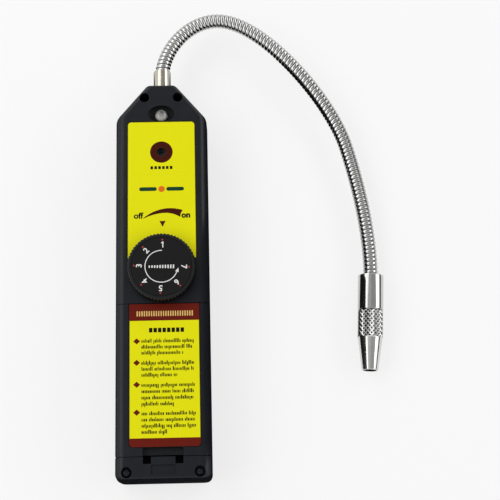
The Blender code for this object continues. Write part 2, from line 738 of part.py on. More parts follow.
def electronics(parts, cutters, materials):
    """Main board, the parts on it, and the high voltage module under it."""
    bm = bmesh.new()
    ring = [
        (BOARD_HALF, BOARD_LOW), (BOARD_HALF, BOARD_TAPER), (BOARD_TIP_HALF, BOARD_HIGH),
        (-BOARD_TIP_HALF, BOARD_HIGH), (-BOARD_HALF, BOARD_TAPER), (-BOARD_HALF, BOARD_LOW),
    ]
    prism(bm, ring, BOARD_BOTTOM, BOARD_TOP)
    board = finish("main_board", bm, parts, materials["board"])
    bm = bmesh.new()
    for y in POST_YS:
        for x in (POST_X, -POST_X):
            rod(bm, x, y, 1.1, BOARD_BOTTOM - 1, BOARD_TOP + 1, 8)
    boolean(board, finish("cut_board_holes", bm, cutters))

    low = BOARD_TOP + SEAT_GAP
    room = ROOM_OVER_BOARD
    for name, x, share, width, length, tall, finish_name in (
        ("timer_chip", -11.0, 0.45, 8.0, 20.0, room * 0.34, "black"),
        ("amplifier_chip", -10.5, 0.76, 7.0, 9.5, room * 0.32, "black"),
        ("step_up_transformer", 9.0, 0.68, 12.0, 13.0, room * 0.8, "cell"),
        ("trimmer", 14.5, 0.94, 7.0, 7.0, room * 0.5, "potting"),
    ):
        y = KNOB_Y + share * (BUZZER_Y - KNOB_Y)
        bm = bmesh.new()
        box(bm, (x - width / 2, y - length / 2, low), (x + width / 2, y + length / 2, low + tall))
        finish(name, bm, parts, materials[finish_name])
    for name, x, share, radius, tall in (
        ("smoothing_capacitor", 9.0, 0.39, 4.0, room * 0.9),
        ("tone_capacitor", -1.0, 0.44, 2.5, room * 0.66),
    ):
        y = KNOB_Y + share * (BUZZER_Y - KNOB_Y)
        turned(name, [
            (0, low), (radius, low), (radius, low + tall - 0.4),
            (radius - 0.4, low + tall), (0, low + tall),
        ], Matrix.Translation((x, y, 0)), 14, False, parts, materials["cell"])

    bm = bmesh.new()
    near = (KNOB_Y + BUZZER_Y) / 2 - MODULE_LENGTH / 2 + 10.0
    box(bm, (-MODULE_HALF, near, WALL + SEAT_GAP),
        (MODULE_HALF, near + MODULE_LENGTH, MODULE_TOP))
    bmesh.ops.bevel(bm, geom=bm.edges, offset=0.8, offset_type="OFFSET", segments=1,
                    affect="EDGES", profile=0.5)
    finish("high_voltage_module", bm, parts, materials["potting"])

    top = BOARD_BOTTOM - GAP
    spots = [(x, y) for y in POST_YS for x in (-POST_X, POST_X)]
    for index, (x, y) in enumerate(spots):
        turned(f"board_screw_{index + 1}", [
            (0, top - 1.5), (1.5, top - 1.5), (1.9, top - 1.0), (1.9, top),
            (0.7, top), (0.7, top + PILOT_DEPTH), (0, top + PILOT_DEPTH + 0.4),
        ], Matrix.Translation((x, y, 0)), 10, False, parts, materials["steel"])


def case_screws(parts, cutters, materials):
    """Four like screws that hold the two shells together."""
    seats = [(spot, TOP_SEAT) for spot in both_sides(TOP_SCREW)]
    seats += [(spot, END_SEAT) for spot in both_sides(END_SCREW)]
    for index, ((x, y), seat) in enumerate(seats):
        under = seat + GAP
        top = under + SCREW_HEAD_HEIGHT
        screw = turned(f"case_screw_{index + 1}", [
            (0, under - SCREW_LENGTH), (SCREW_RADIUS - 0.5, under - SCREW_LENGTH + 0.3),
            (SCREW_RADIUS, under - SCREW_LENGTH + 1.8), (SCREW_RADIUS, under),
            (SCREW_HEAD_RADIUS, under), (SCREW_HEAD_RADIUS, top - 0.7),
            (SCREW_HEAD_RADIUS - 0.6, top - 0.1), (0, top),
        ], Matrix.Translation((x, y, 0)), 12, False, parts, materials["steel"])
        for along, across, side in ((1.3, 0.3, "a"), (0.3, 1.3, "b")):
            bm = bmesh.new()
            box(bm, (x - along, y - across, top - 1.1), (x + along, y + across, top + 1))
            boolean(screw, finish(f"cut_cross_{index + 1}_{side}", bm, cutters))


def batteries(parts, materials):
    """Three cells side by side with their contact plates and springs."""
    face_high = BAY_HIGH - SEAT_GAP - CONTACT_THICK
    face_low = BAY_LOW + SEAT_GAP + CONTACT_THICK
    body = CELL_LENGTH - CELL_NUB
    profile = [
        (0, 0), (CELL_RADIUS - 0.6, 0), (CELL_RADIUS, 0.6), (CELL_RADIUS, body - 0.6),
        (CELL_RADIUS - 0.6, body), (CELL_NUB_RADIUS, body),
        (CELL_NUB_RADIUS, CELL_LENGTH), (0, CELL_LENGTH),
    ]
    for index in range(3):
        x = (index - 1) * CELL_PITCH
        up = index != 1
        if up:
            start = face_high - SEAT_GAP - CELL_LENGTH
            turn = Matrix.Rotation(math.radians(-90), 4, "X")
        else:
            start = face_low + SEAT_GAP + CELL_LENGTH
            turn = Matrix.Rotation(math.radians(90), 4, "X")
        turned(f"battery_{index + 1}", profile, Matrix.Translation((x, start, CELL_Z)) @ turn,
               20, False, parts, materials["cell"])

    half = CONTACT_SIZE / 2
    for index in range(3):
        x = (index - 1) * CELL_PITCH
        for side, low, high in (("upper", face_high, BAY_HIGH - SEAT_GAP),
                                ("lower", BAY_LOW + SEAT_GAP, face_low)):
            bm = bmesh.new()
            box(bm, (x - half, low, CELL_Z - half), (x + half, high, CELL_Z + half))
            finish(f"{side}_contact_{index + 1}", bm, parts, materials["steel"])

    wire = SPRING_WIRE
    length = face_high - face_low - CELL_LENGTH - 3 * SEAT_GAP - 2 * wire
    turns, per_turn = 3, 8
    steps = int(turns * per_turn)
    for index in range(3):
        x = (index - 1) * CELL_PITCH
        start = face_low + SEAT_GAP + wire if index != 1 else face_high - SEAT_GAP - wire
        sign = 1 if index != 1 else -1
        points = []
        for k in range(steps + 1):
            share = k / steps
            angle = math.tau * turns * share
            coil = 4.8 - 1.6 * share
            points.append((x + coil * math.cos(angle), start + sign * length * share,
                           CELL_Z + coil * math.sin(angle)))
        wire_piece(f"battery_spring_{index + 1}", points, wire, 1, parts, materials["steel"])


def wire_piece(name, points, radius, resolution, parts, material):
    """Make a round wire along points as a mesh."""
    curve = bpy.data.curves.new(name, "CURVE")
    curve.dimensions = "3D"
    curve.bevel_depth = radius * MM
    curve.bevel_resolution = resolution
    curve.use_fill_caps = True
    spline = curve.splines.new("POLY")
    spline.points.add(len(points) - 1)
    for point, place in zip(spline.points, points):
        point.co = (*(Vector(place) * MM), 1.0)
    guide = bpy.data.objects.new(f"{name}_guide", curve)
    bpy.context.scene.collection.objects.link(guide)
    bpy.context.view_layer.update()
    graph = bpy.context.evaluated_depsgraph_get()
    mesh = bpy.data.meshes.new_from_object(guide.evaluated_get(graph))
    mesh.name = name
    bpy.data.objects.remove(guide, do_unlink=True)
    bm = bmesh.new()
    bm.from_mesh(mesh)
    bmesh.ops.remove_doubles(bm, verts=bm.verts, dist=1e-6)
    bmesh.ops.recalc_face_normals(bm, faces=bm.faces)
    bm.to_mesh(mesh)
    bm.free()
    mesh.materials.clear()
    mesh.materials.append(material)
    obj = bpy.data.objects.new(name, mesh)
    parts.objects.link(obj)
    return obj


def head_matrix():
    """Place local Z along the probe head, from the middle of the socket's open face."""
    matrix = Matrix.Translation((*TIP_CENTRE, TIP_RADIUS))
    return matrix @ Matrix.Rotation(-TIP_LEAN, 4, "Z") @ Matrix.Rotation(math.radians(90), 4, "X")


def neck_path():
    """Return the knots of the neck's centre line with their handles."""
    head = head_matrix()
    end = head @ Vector((0, 0, 4.0))
    heading = (head.to_3x3() @ Vector((0, 0, 1))).normalized()
    start = Vector((0, FERRULE_TOP - NECK_SEAT, NECK_Z))
    reach, rise, drop = NECK_REACH, NECK_RISE, NECK_FALL
    sink = NECK_Z - TIP_RADIUS
    apex = Vector((reach * 0.28, FERRULE_TOP + rise, NECK_Z - sink * 0.11))
    fall = Vector((reach * 0.666, FERRULE_TOP + drop * 0.023, NECK_Z - sink * 0.42))
    low = Vector((reach * 0.909, FERRULE_TOP - drop * 0.382, NECK_Z - sink * 0.756))
    return [
        (start, Vector((0, 1, 0)), rise * 0.16, rise * 0.5),
        (apex, Vector((1, 0, -0.02)), rise * 0.54, rise * 0.475),
        (fall, Vector((0.645, -0.762, -0.05)), rise * 0.54, rise * 0.57),
        (low, Vector((0.262, -0.964, -0.05)), rise * 0.57, drop * 0.2),
        (end, heading, drop * 0.22, rise * 0.13),
    ]


def sample_path(knots, per_piece):
    """Return points along the centre line through some knots."""
    points = []
    for (a, da, _, out), (b, db, back, _) in zip(knots, knots[1:]):
        piece = interpolate_bezier(
            a, a + da.normalized() * out, b - db.normalized() * back, b, per_piece)
        points += piece if not points else piece[1:]
    return points


def neck_curve(cutters):
    """Make the neck's centre line as a curve that bends the straight tube."""
    knots = neck_path()
    curve = bpy.data.curves.new("neck_line", "CURVE")
    curve.dimensions = "3D"
    curve.resolution_u = 24
    curve.render_resolution_u = 0
    curve.twist_mode = "MINIMUM"
    spline = curve.splines.new("BEZIER")
    spline.bezier_points.add(len(knots) - 1)
    for point, (place, heading, back, out) in zip(spline.bezier_points, knots):
        heading = heading.normalized()
        point.co = place * MM
        point.handle_left_type = "FREE"
        point.handle_right_type = "FREE"
        point.handle_left = (place - heading * back) * MM
        point.handle_right = (place + heading * out) * MM
    obj = bpy.data.objects.new("neck_line", curve)
    cutters.objects.link(obj)
    obj.hide_render = True
    obj.display_type = "WIRE"
    return obj


def neck(parts, cutters, materials):
    """Ferrule, its nut, the wound gooseneck and the lead inside it."""
    place = Matrix.Translation((0, 0, NECK_Z)) @ Matrix.Rotation(math.radians(-90), 4, "X")
    base = HALF_LENGTH + GAP
    seat = FERRULE_TOP - NECK_SEAT - SEAT_GAP
    turned("neck_ferrule", [
        (NECK_BORE, FERRULE_SHANK_END), (FERRULE_SHANK_RADIUS, FERRULE_SHANK_END),
        (FERRULE_SHANK_RADIUS, base), (FERRULE_BASE_RADIUS, base),
        (FERRULE_BASE_RADIUS, base + 1.5), (FERRULE_BASE_RADIUS - 0.2, base + 2.0),
        (FERRULE_TOP_RADIUS + 0.1, FERRULE_TOP - 1.0), (FERRULE_TOP_RADIUS - 0.2, FERRULE_TOP),
        (NECK_RADIUS + 0.25, FERRULE_TOP), (NECK_RADIUS + 0.25, seat), (NECK_BORE, seat),
    ], place, 24, True, parts, materials["chrome"])
    inside = HALF_LENGTH - WALL - GAP
    nut("neck_nut", place, NECK_NUT_FLATS, FERRULE_SHANK_RADIUS + 0.25,
        inside - NECK_NUT_THICK, inside, parts, cutters, materials["steel"])

    curve = neck_curve(cutters)
    points = sample_path(neck_path(), 49)
    length = sum((b - a).length for a, b in zip(points, points[1:]))
    count = round(length / NECK_PITCH)
    pitch = length / count
    profile = [(NECK_BORE, 0.0), (NECK_RADIUS - NECK_GROOVE, 0.0)]
    for k in range(count):
        profile.append((NECK_RADIUS, (k + 0.5) * pitch))
        if k < count - 1:
            profile.append((NECK_RADIUS - NECK_GROOVE, (k + 1.0) * pitch))
    profile.append((NECK_RADIUS - NECK_GROOVE, length))
    profile.append((NECK_BORE, length))
    inner = count // 3
    for k in range(1, inner):
        profile.append((NECK_BORE, length * (1 - k / inner)))
    gooseneck = turned("gooseneck", profile, Matrix.Identity(4), 8, True,
                       parts, materials["chrome"], axis="X")
    bend = gooseneck.modifiers.new("bend", "CURVE")
    bend.object = curve
    bend.deform_axis = "POS_X"

    inner = Vector((0, FERRULE_SHANK_END - LEAD_TAIL, NECK_Z))
    points = [inner] + sample_path(neck_path(), 9)
    wire_piece("sensor_lead", points, LEAD_RADIUS, 1, parts, materials["lead"])


def head(parts, materials):
    """Probe socket, sensor holder, sensor and the screwed tip guard."""
    place = head_matrix()
    r = TIP_RADIUS
    socket = turned("probe_socket", [
        (NECK_RADIUS + 0.25, 0.0), (r - 0.5, 0.0), (r, 0.5), (r, SOCKET_LENGTH - 0.3),
        (r - 0.3, SOCKET_LENGTH), (SPIGOT_RADIUS, SOCKET_LENGTH),
        (SPIGOT_RADIUS, SPIGOT_END - 0.4), (SPIGOT_RADIUS - 0.4, SPIGOT_END),
        (HOLDER_RADIUS + 0.2, SPIGOT_END), (HOLDER_RADIUS + 0.2, 8.0), (NECK_BORE, 8.0),
        (NECK_BORE, 4.3), (NECK_RADIUS + 0.25, 4.3),
    ], place, 32, True, parts, materials["chrome"])

    holder = turned("sensor_holder", [
        (0, 8.3), (HOLDER_RADIUS, 8.3), (HOLDER_RADIUS, SPIGOT_END + 3.0),
        (HOLDER_RADIUS - 0.6, SPIGOT_END + 3.6), (1.6, SPIGOT_END + 3.6),
        (1.6, SPIGOT_END + 0.6), (0, SPIGOT_END + 0.6),
    ], place, 18, False, parts, materials["ceramic"])

    start = SPIGOT_END + 0.9
    sensor = turned("sensor_electrode", [
        (0, start), (1.3, start), (1.3, start + 12.0), (2.2, start + 12.4),
        (2.2, start + 15.0), (0.8, start + 16.0), (0, start + 18.0),
    ], place, 14, False, parts, materials["steel"])

    bm = bmesh.new()
    begin = SOCKET_LENGTH + GAP
    knurl_low, knurl_high = begin + 0.8, KNURL_END - 0.8
    rows = 8
    spokes = KNURL_COUNT * 2
    loops = []
    inside = SPIGOT_RADIUS + GAP
    levels = [(inside, begin, 0.0), (r - 0.5, begin, 0.0)]
    for k in range(rows + 1):
        level = knurl_low + (knurl_high - knurl_low) * k / rows
        levels.append((r - 0.1, level, KNURL_DEPTH if k % 2 else -KNURL_DEPTH))
    levels += [
        (r - 0.35, KNURL_END, 0.0), (GUARD_MOUTH_RADIUS + 0.15, GUARD_END - 0.3, 0.0),
        (GUARD_MOUTH_RADIUS - 0.2, GUARD_END, 0.0), (GUARD_MOUTH_BORE, GUARD_END, 0.0),
        (GUARD_MOUTH_BORE, GUARD_END - 2.0, 0.0), (inside - 0.6, KNURL_END + 2.0, 0.0),
        (inside, KNURL_END - 2.0, 0.0),
    ]
    for radius, level, depth in levels:
        loop = []
        for k in range(spokes):
            angle = math.tau * k / spokes
            reach = radius
            if depth:
                sunk = (k % 2 == 0) == (depth > 0)
                reach = radius - (KNURL_DEPTH if sunk else 0.0)
            loop.append(bm.verts.new((reach * math.cos(angle), reach * math.sin(angle), level)))
        loops.append(loop)
    for a, b in zip(loops, loops[1:] + loops[:1]):
        for i in range(spokes):
            j = (i + 1) % spokes
            bm.faces.new((a[i], a[j], b[j], b[i]))
    bmesh.ops.transform(bm, matrix=place, verts=bm.verts)
    guard = finish("tip_guard", bm, parts, materials["chrome"])
    triangulate = guard.modifiers.new("facets", "TRIANGULATE")
    triangulate.quad_method = "SHORTEST_DIAGONAL"
    return socket, holder, sensor, guard


def main():
    """Build every piece."""
    clear_scene()
    scene = bpy.context.scene
    parts = bpy.data.collections.new("parts")
    cutters = bpy.data.collections.new("cutters")
    scene.collection.children.link(parts)
    scene.collection.children.link(cutters)
    cutters.hide_render = True
    materials = {
        "case": make_material("case_plastic", (0.014, 0.016, 0.02), 0.0, 0.5),
        "black": make_material("black_plastic", (0.012, 0.012, 0.014), 0.0, 0.45),
        "label": make_material("label_film", (0.75, 0.7, 0.01), 0.0, 0.4),
        "lens": make_material("clear_lens", (0.85, 0.86, 0.85), 0.0, 0.1),
        "steel": make_material("plated_steel", (0.55, 0.55, 0.55), 1.0, 0.35),
        "chrome": make_material("chrome", (0.8, 0.8, 0.8), 1.0, 0.08),
        "board": make_material("board_laminate", (0.02, 0.15, 0.05), 0.0, 0.5),
        "potting": make_material("potting", (0.03, 0.03, 0.035), 0.0, 0.5),
        "cell": make_material("cell_jacket", (0.2, 0.21, 0.22), 0.6, 0.35),
        "ceramic": make_material("ceramic", (0.8, 0.78, 0.72), 0.0, 0.4),
        "lead": make_material("lead_rubber", (0.02, 0.02, 0.02), 0.0, 0.6),
    }
    neck_hole(cutters)
    front_shell(parts, cutters, materials["case"])
    rear_shell(parts, cutters, materials["case"])
    cover = battery_cover(parts, cutters, materials["case"])
    cover_label = labels(parts, cutters, materials)
    indicator_and_buzzer(parts, materials)
    turning = control(parts, cutters, materials)
    electronics(parts, cutters, materials)
    case_screws(parts, cutters, materials)
    batteries(parts, materials)
    neck(parts, cutters, materials)
    swinging = head(parts, materials)
    carry(joint_empty("knob_axis", KNOB_AXIS, parts), *turning)
    carry(joint_empty("cover_axis", COVER_AXIS, parts), cover, cover_label)
    carry(joint_empty("neck_axis", NECK_PIVOT, parts), *swinging)


main()
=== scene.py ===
"""Looks of a hand-held refrigerant leak detector: finishes, fine pieces, stage and light.

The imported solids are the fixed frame. Sizes are in millimetres, as on a drawing, and a
piece is turned into metres when it is placed. +X is the case's right side seen from the
front, +Y points from the battery end to the gooseneck and +Z points out of the face.
"""

import logging
import math
import random
from collections.abc import Iterable
from dataclasses import dataclass, field
from enum import Enum

import bmesh
import bpy
from mathutils import Matrix, Vector
from mathutils.geometry import interpolate_bezier

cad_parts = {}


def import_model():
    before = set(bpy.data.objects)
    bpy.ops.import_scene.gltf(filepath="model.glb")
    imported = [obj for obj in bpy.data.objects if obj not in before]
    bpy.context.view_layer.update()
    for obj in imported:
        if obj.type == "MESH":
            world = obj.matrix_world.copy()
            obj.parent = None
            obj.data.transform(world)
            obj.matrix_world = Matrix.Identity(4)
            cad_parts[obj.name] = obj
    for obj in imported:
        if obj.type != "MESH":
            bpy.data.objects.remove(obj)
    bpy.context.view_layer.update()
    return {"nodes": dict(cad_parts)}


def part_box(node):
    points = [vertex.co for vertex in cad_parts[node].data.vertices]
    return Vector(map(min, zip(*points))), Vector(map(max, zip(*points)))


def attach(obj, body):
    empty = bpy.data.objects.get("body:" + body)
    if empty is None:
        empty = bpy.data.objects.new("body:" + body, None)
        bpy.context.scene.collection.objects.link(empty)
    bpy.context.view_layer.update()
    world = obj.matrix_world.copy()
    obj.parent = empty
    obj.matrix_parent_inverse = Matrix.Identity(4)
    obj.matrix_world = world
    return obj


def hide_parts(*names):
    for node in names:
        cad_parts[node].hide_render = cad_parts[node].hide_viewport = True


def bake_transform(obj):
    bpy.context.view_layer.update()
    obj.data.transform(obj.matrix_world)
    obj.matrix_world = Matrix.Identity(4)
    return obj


MM = 0.001
MERGE = 0.0005  # points closer than this, in millimetres, become one
LOG = logging.getLogger("leak_detector")

Point2 = tuple[float, float]
Corner = tuple[float, float, float]


class Body(Enum):
    """The bodies of the frame that a piece can ride on."""

    CASE = "case"
    KNOB = "knob"
    COVER = "cover"
    HEAD = "probe_head"
    GUARD = "guard"


class Slot(Enum):
    """The record's material slots."""

    CASE = "case_plastic"
    LABEL = "label_film"
    LENS = "clear_lens"
    KNOB = "knob_plastic"
    BLACK = "black_plastic"
    STEEL = "plated_steel"
    CHROME = "chrome_plate"
    BOARD = "board_laminate"
    POTTING = "potting"
    CELL = "cell_jacket"
    COMPONENT = "component_case"
    CERAMIC = "ceramic_white"
    LEAD = "lead_rubber"


class Operation(Enum):
    """Ways to combine two solids."""

    CUT = "DIFFERENCE"
    JOIN = "UNION"
    KEEP = "INTERSECT"


def linear(colour: tuple[int, int, int], gain: float = 1.0) -> tuple[float, ...]:
    """Turn a colour as it is seen into the shader's linear values.

    Args:
        colour: Red, green and blue from 0 to 255.
        gain: Factor on the linear values.

    Returns:
        Red, green, blue and alpha for a colour socket.
    """
    values = []
    for channel in colour:
        share = channel / 255
        value = share / 12.92 if share <= 0.04045 else ((share + 0.055) / 1.055) ** 2.4
        values.append(min(1.0, value * gain))
    return (*values, 1.0)


def add_node(tree: bpy.types.NodeTree, kind: str,
             values: dict[str, object] | None = None) -> bpy.types.Node:
    """Add a shader node and set its inputs.

    Args:
        tree: Node tree to add it to.
        kind: Type of the node, without the common prefix.
        values: Values by the input's name.

    Returns:
        The node.
    """
    node = tree.nodes.new(f"ShaderNode{kind}")
    for name, value in (values or {}).items():
        node.inputs[name].default_value = value
    return node


def add_object(name: str, data: bpy.types.ID) -> bpy.types.Object:
    """Add an object to the scene.

    Args:
        name: Its name.
        data: The mesh, curve, lamp or camera that it shows.

    Returns:
        The object.
    """
    obj = bpy.data.objects.new(name, data)
    bpy.context.scene.collection.objects.link(obj)
    return obj


@dataclass(frozen=True)
class Finish:
    """A surface finish whose colour, gloss and grain vary over the piece.

    Lengths are in millimetres and colours are as seen, from 0 to 255.
    """

    name: str
    slot: Slot
    colour: tuple[int, int, int]
    roughness: float
    metallic: float = 0.0
    mottle: float = 0.08
    mottle_size: float = 14.0
    rub: float = 0.05
    rub_size: float = 6.0
    grain: float = 0.0
    grain_size: float = 0.4
    coat: float = 0.0
    transmission: float = 0.0
    specular: float = 0.5

    def material(self) -> bpy.types.Material:
        """Return the finish's material, made on first use.

        Returns:
            The material.
        """
        name = f"{self.name}_finish"
        found = bpy.data.materials.get(name)
        if found:
            return found
        material = bpy.data.materials.new(name)
        material.use_nodes = True
        tree = material.node_tree
        shader = tree.nodes["Principled BSDF"]
        for socket, value in (("Metallic", self.metallic), ("Coat Weight", self.coat),
                              ("Coat Roughness", 0.08),
                              ("Transmission Weight", self.transmission),
                              ("Specular IOR Level", self.specular)):
            shader.inputs[socket].default_value = value
        place = add_node(tree, "TexCoord").outputs["Object"]
        self.colouring(tree, place, shader)
        rub = self.noise(tree, place, self.rub_size, 3.0)
        level = add_node(tree, "MapRange", {
            "From Min": 0.3, "From Max": 0.7,
            "To Min": max(0.01, self.roughness - self.rub),
            "To Max": self.roughness + self.rub})
        tree.links.new(rub.outputs["Fac"], level.inputs["Value"])
        tree.links.new(level.outputs["Result"], shader.inputs["Roughness"])
        if self.grain:
            grain = self.noise(tree, place, self.grain_size, 2.0)
            bump = add_node(tree, "Bump", {"Strength": 1.0, "Distance": self.grain * MM})
            tree.links.new(grain.outputs["Fac"], bump.inputs["Height"])
            tree.links.new(bump.outputs["Normal"], shader.inputs["Normal"])
        return material

    def noise(self, tree: bpy.types.NodeTree, place: bpy.types.NodeSocket, size: float,
              detail: float) -> bpy.types.Node:
        """Add a noise pattern of a given grain.

        Args:
            tree: Node tree of the material.
            place: Socket that gives the place on the piece.
            size: Width of the pattern's blobs.
            detail: Levels of finer noise.

        Returns:
            The noise node.
        """
        node = add_node(tree, "TexNoise", {"Scale": 1 / (size * MM), "Detail": detail})
        tree.links.new(place, node.inputs["Vector"])
        return node

    def colouring(self, tree: bpy.types.NodeTree, place: bpy.types.NodeSocket,
                  shader: bpy.types.Node) -> None:
        """Mix two shades of the colour and feed them to the shader.

        Args:
            tree: Node tree of the material.
            place: Socket that gives the place on the piece.
            shader: The Principled shader.
        """
        pattern = self.noise(tree, place, self.mottle_size, 4.0)
        mix = add_node(tree, "Mix")
        mix.data_type = "RGBA"
        mix.inputs["A"].default_value = linear(self.colour, 1 - self.mottle)
        mix.inputs["B"].default_value = linear(self.colour, 1 + self.mottle)
        tree.links.new(pattern.outputs["Fac"], mix.inputs["Factor"])
        tree.links.new(mix.outputs["Result"], shader.inputs["Base Color"])


@dataclass(frozen=True)
class BandedFinish(Finish):
    """A finish with coloured bands across one axis of the piece."""

    axis: str = "Y"
    bands: tuple[tuple[float, tuple[int, int, int]], ...] = ()
    span: Point2 = (0.0, 1.0)
    fade: str = "CONSTANT"

    def colouring(self, tree: bpy.types.NodeTree, place: bpy.types.NodeSocket,
                  shader: bpy.types.Node) -> None:
        """Feed the bands to the shader.

        Args:
            tree: Node tree of the material.
            place: Socket that gives the place on the piece.
            shader: The Principled shader.
        """
        parts = add_node(tree, "SeparateXYZ")
        tree.links.new(place, parts.inputs[0])
        share = add_node(tree, "MapRange", {"From Min": self.span[0] * MM,
                                            "From Max": self.span[1] * MM})
        tree.links.new(parts.outputs[self.axis], share.inputs["Value"])
        ramp = add_node(tree, "ValToRGB")
        ramp.color_ramp.interpolation = self.fade
        for index, (start, colour) in enumerate(self.bands):
            stops = ramp.color_ramp.elements
            stop = stops[index] if index < 2 else stops.new(start)
            stop.position = start
            stop.color = linear(colour)
        tree.links.new(share.outputs["Result"], ramp.inputs["Fac"])
        tree.links.new(ramp.outputs["Color"], shader.inputs["Base Color"])


@dataclass(frozen=True)
class GroovedFinish(Finish):
    """A bright finish darkened in its grooves, where the sunk attribute is high: painted
    shade in the grooves.
    """

    # Colour of the painted shade in the deepest grooves, and the sunk levels where it
    # starts and where it is full.
    groove_shade: tuple[int, int, int] = (30, 30, 30)
    shade_from: float = 0.4
    full_shade_from: float = 0.95

    def colouring(self, tree: bpy.types.NodeTree, place: bpy.types.NodeSocket,
                  shader: bpy.types.Node) -> None:
        """Mix the dirt into the colour and feed both to the shader.

        Args:
            tree: Node tree of the material.
            place: Socket that gives the place on the piece.
            shader: The Principled shader.
        """
        super().colouring(tree, place, shader)
        plain = shader.inputs["Base Color"].links[0].from_socket
        # The groove's depth sets how much painted shade it takes.
        depth = add_node(tree, "Attribute")
        depth.attribute_name = "sunk"
        share = add_node(tree, "MapRange", {"From Min": self.shade_from,
                                            "From Max": self.full_shade_from})
        tree.links.new(depth.outputs["Fac"], share.inputs["Value"])
        mix = add_node(tree, "Mix")
        mix.data_type = "RGBA"
        mix.inputs["B"].default_value = linear(self.groove_shade)
        tree.links.new(share.outputs["Result"], mix.inputs["Factor"])
        tree.links.new(plain, mix.inputs["A"])
        tree.links.new(mix.outputs["Result"], shader.inputs["Base Color"])


@dataclass(frozen=True)
class TracedFinish(Finish):
    """Circuit board laminate with lighter copper tracks under its lacquer."""

    track_colour: tuple[int, int, int] = (60, 130, 70)
    track_pitch: float = 3.2

    def colouring(self, tree: bpy.types.NodeTree, place: bpy.types.NodeSocket,
                  shader: bpy.types.Node) -> None:
        """Feed the tracks to the shader.

        Args:
            tree: Node tree of the material.
            place: Socket that gives the place on the piece.
            shader: The Principled shader.
        """
        bricks = add_node(tree, "TexBrick", {
            "Scale": 1 / (self.track_pitch * MM), "Mortar Size": 0.07,
            "Color1": linear(self.colour), "Color2": linear(self.colour, 1.25),
            "Mortar": linear(self.track_colour)})
        tree.links.new(place, bricks.inputs["Vector"])
        tree.links.new(bricks.outputs["Color"], shader.inputs["Base Color"])


CASE_PLASTIC = Finish("moulded_case_plastic", Slot.CASE, (20, 22, 28), 0.36, mottle=0.1,
                      rub=0.05, grain=0.01, grain_size=0.35, specular=0.24)
# Darker than the case plastic: painted shade in the recessed dish round the lamp, on a
# duller sparked texture.
DULL_DISH_PAINTED_SHADE = Finish("sparked_dish_painted_shade", Slot.CASE, (9, 9, 11), 0.6,
                      grain=0.02, grain_size=0.3, specular=0.12)
KNOB_PLASTIC = Finish("knob_plastic", Slot.KNOB, (16, 17, 19), 0.33, grain=0.006,
                      grain_size=0.3, specular=0.3)
DIAL_PLASTIC = Finish("dial_plastic", Slot.BLACK, (17, 17, 17), 0.5, grain=0.006,
                      grain_size=0.25, specular=0.16)
BLACK_PLASTIC = Finish("black_plastic", Slot.BLACK, (18, 18, 20), 0.45, grain=0.01)
LABEL_YELLOW = Finish("label_yellow", Slot.LABEL, (229, 226, 0), 0.4, mottle=0.025,
                      mottle_size=22.0, grain=0.004, grain_size=1.2, specular=0.1)


def ink(name: str, colour: tuple[int, int, int], slot: Slot = Slot.LABEL) -> Finish:
    """Return the finish of a printing ink."""
    return Finish(f"print_{name}", slot, colour, 0.45, mottle_size=3.0,
                  specular=0.1 if slot is Slot.LABEL else 0.5)


def field_ink(name: str, colour: tuple[int, int, int]) -> Finish:
    """Return the finish of an ink that covers a wide field."""
    return Finish(f"print_{name}", Slot.LABEL, colour, 0.4, mottle=0.1, mottle_size=7.0,
                  specular=0.1)


PRINT_MAROON = field_ink("maroon", (102, 22, 8))
PRINT_BROWN = field_ink("brown", (66, 14, 4))
# The dark line round each label's edge: painted shadow where the label sits in its pocket.
LABEL_EDGE_SHADE = ink("edge", (92, 88, 22))
PRINT_BLACK = ink("black", (18, 17, 8))
PRINT_TEXT = ink("text", (24, 22, 4))
PRINT_GOLD = ink("gold", (232, 190, 112))
PRINT_GREEN = ink("green", (14, 62, 38))
PRINT_ORANGE = ink("orange", (226, 108, 20))
PRINT_WHITE = ink("white", (226, 226, 224), Slot.BLACK)
PRINT_RED = ink("red", (170, 44, 42), Slot.BLACK)
BLACK_STEEL = Finish("blackened_steel", Slot.STEEL, (58, 60, 66), 0.34, metallic=1.0,
                     rub=0.1, grain=0.006, grain_size=0.3)
STEEL = Finish("plated_steel", Slot.STEEL, (178, 178, 174), 0.3, metallic=1.0, rub=0.1,
               grain=0.004, grain_size=0.3)
CHROME = Finish("polished_chrome", Slot.CHROME, (200, 200, 197), 0.09, metallic=1.0,
                mottle=0.06, mottle_size=2.5, rub=0.05, grain=0.003, grain_size=1.3)
# The winding's grooves take painted shade, darker the deeper they lie.
WOUND_CHROME = GroovedFinish(
    "wound_chrome", Slot.CHROME, (192, 193, 191), 0.12, metallic=1.0, mottle=0.14,
    mottle_size=2.2, rub=0.05, rub_size=2.0, grain=0.004, grain_size=0.7)
# The knurl's pits take painted shade, darker the deeper they lie.
KNURLED_CHROME = GroovedFinish(
    "knurled_chrome", Slot.CHROME, (216, 216, 213), 0.16, metallic=1.0, mottle=0.06,
    mottle_size=2.5, groove_shade=(14, 14, 14), shade_from=0.36, full_shade_from=0.66)
NICKEL = Finish("polished_nickel", Slot.CHROME, (196, 190, 176), 0.14, metallic=1.0,
                mottle=0.06, mottle_size=2.5, rub=0.05, grain=0.004, grain_size=1.3)
BOARD = TracedFinish("board_laminate", Slot.BOARD, (24, 84, 44), 0.35, coat=0.4)
POTTING = Finish("potting_resin", Slot.POTTING, (38, 38, 40), 0.3, grain=0.01,
                 grain_size=2.0)
COMPONENT = Finish("component_case", Slot.COMPONENT, (58, 62, 92), 0.35, mottle_size=4.0)
CERAMIC = Finish("white_ceramic", Slot.CERAMIC, (224, 221, 212), 0.42, grain=0.004)
LEAD_RUBBER = Finish("lead_rubber", Slot.LEAD, (24, 24, 24), 0.6, grain=0.01)
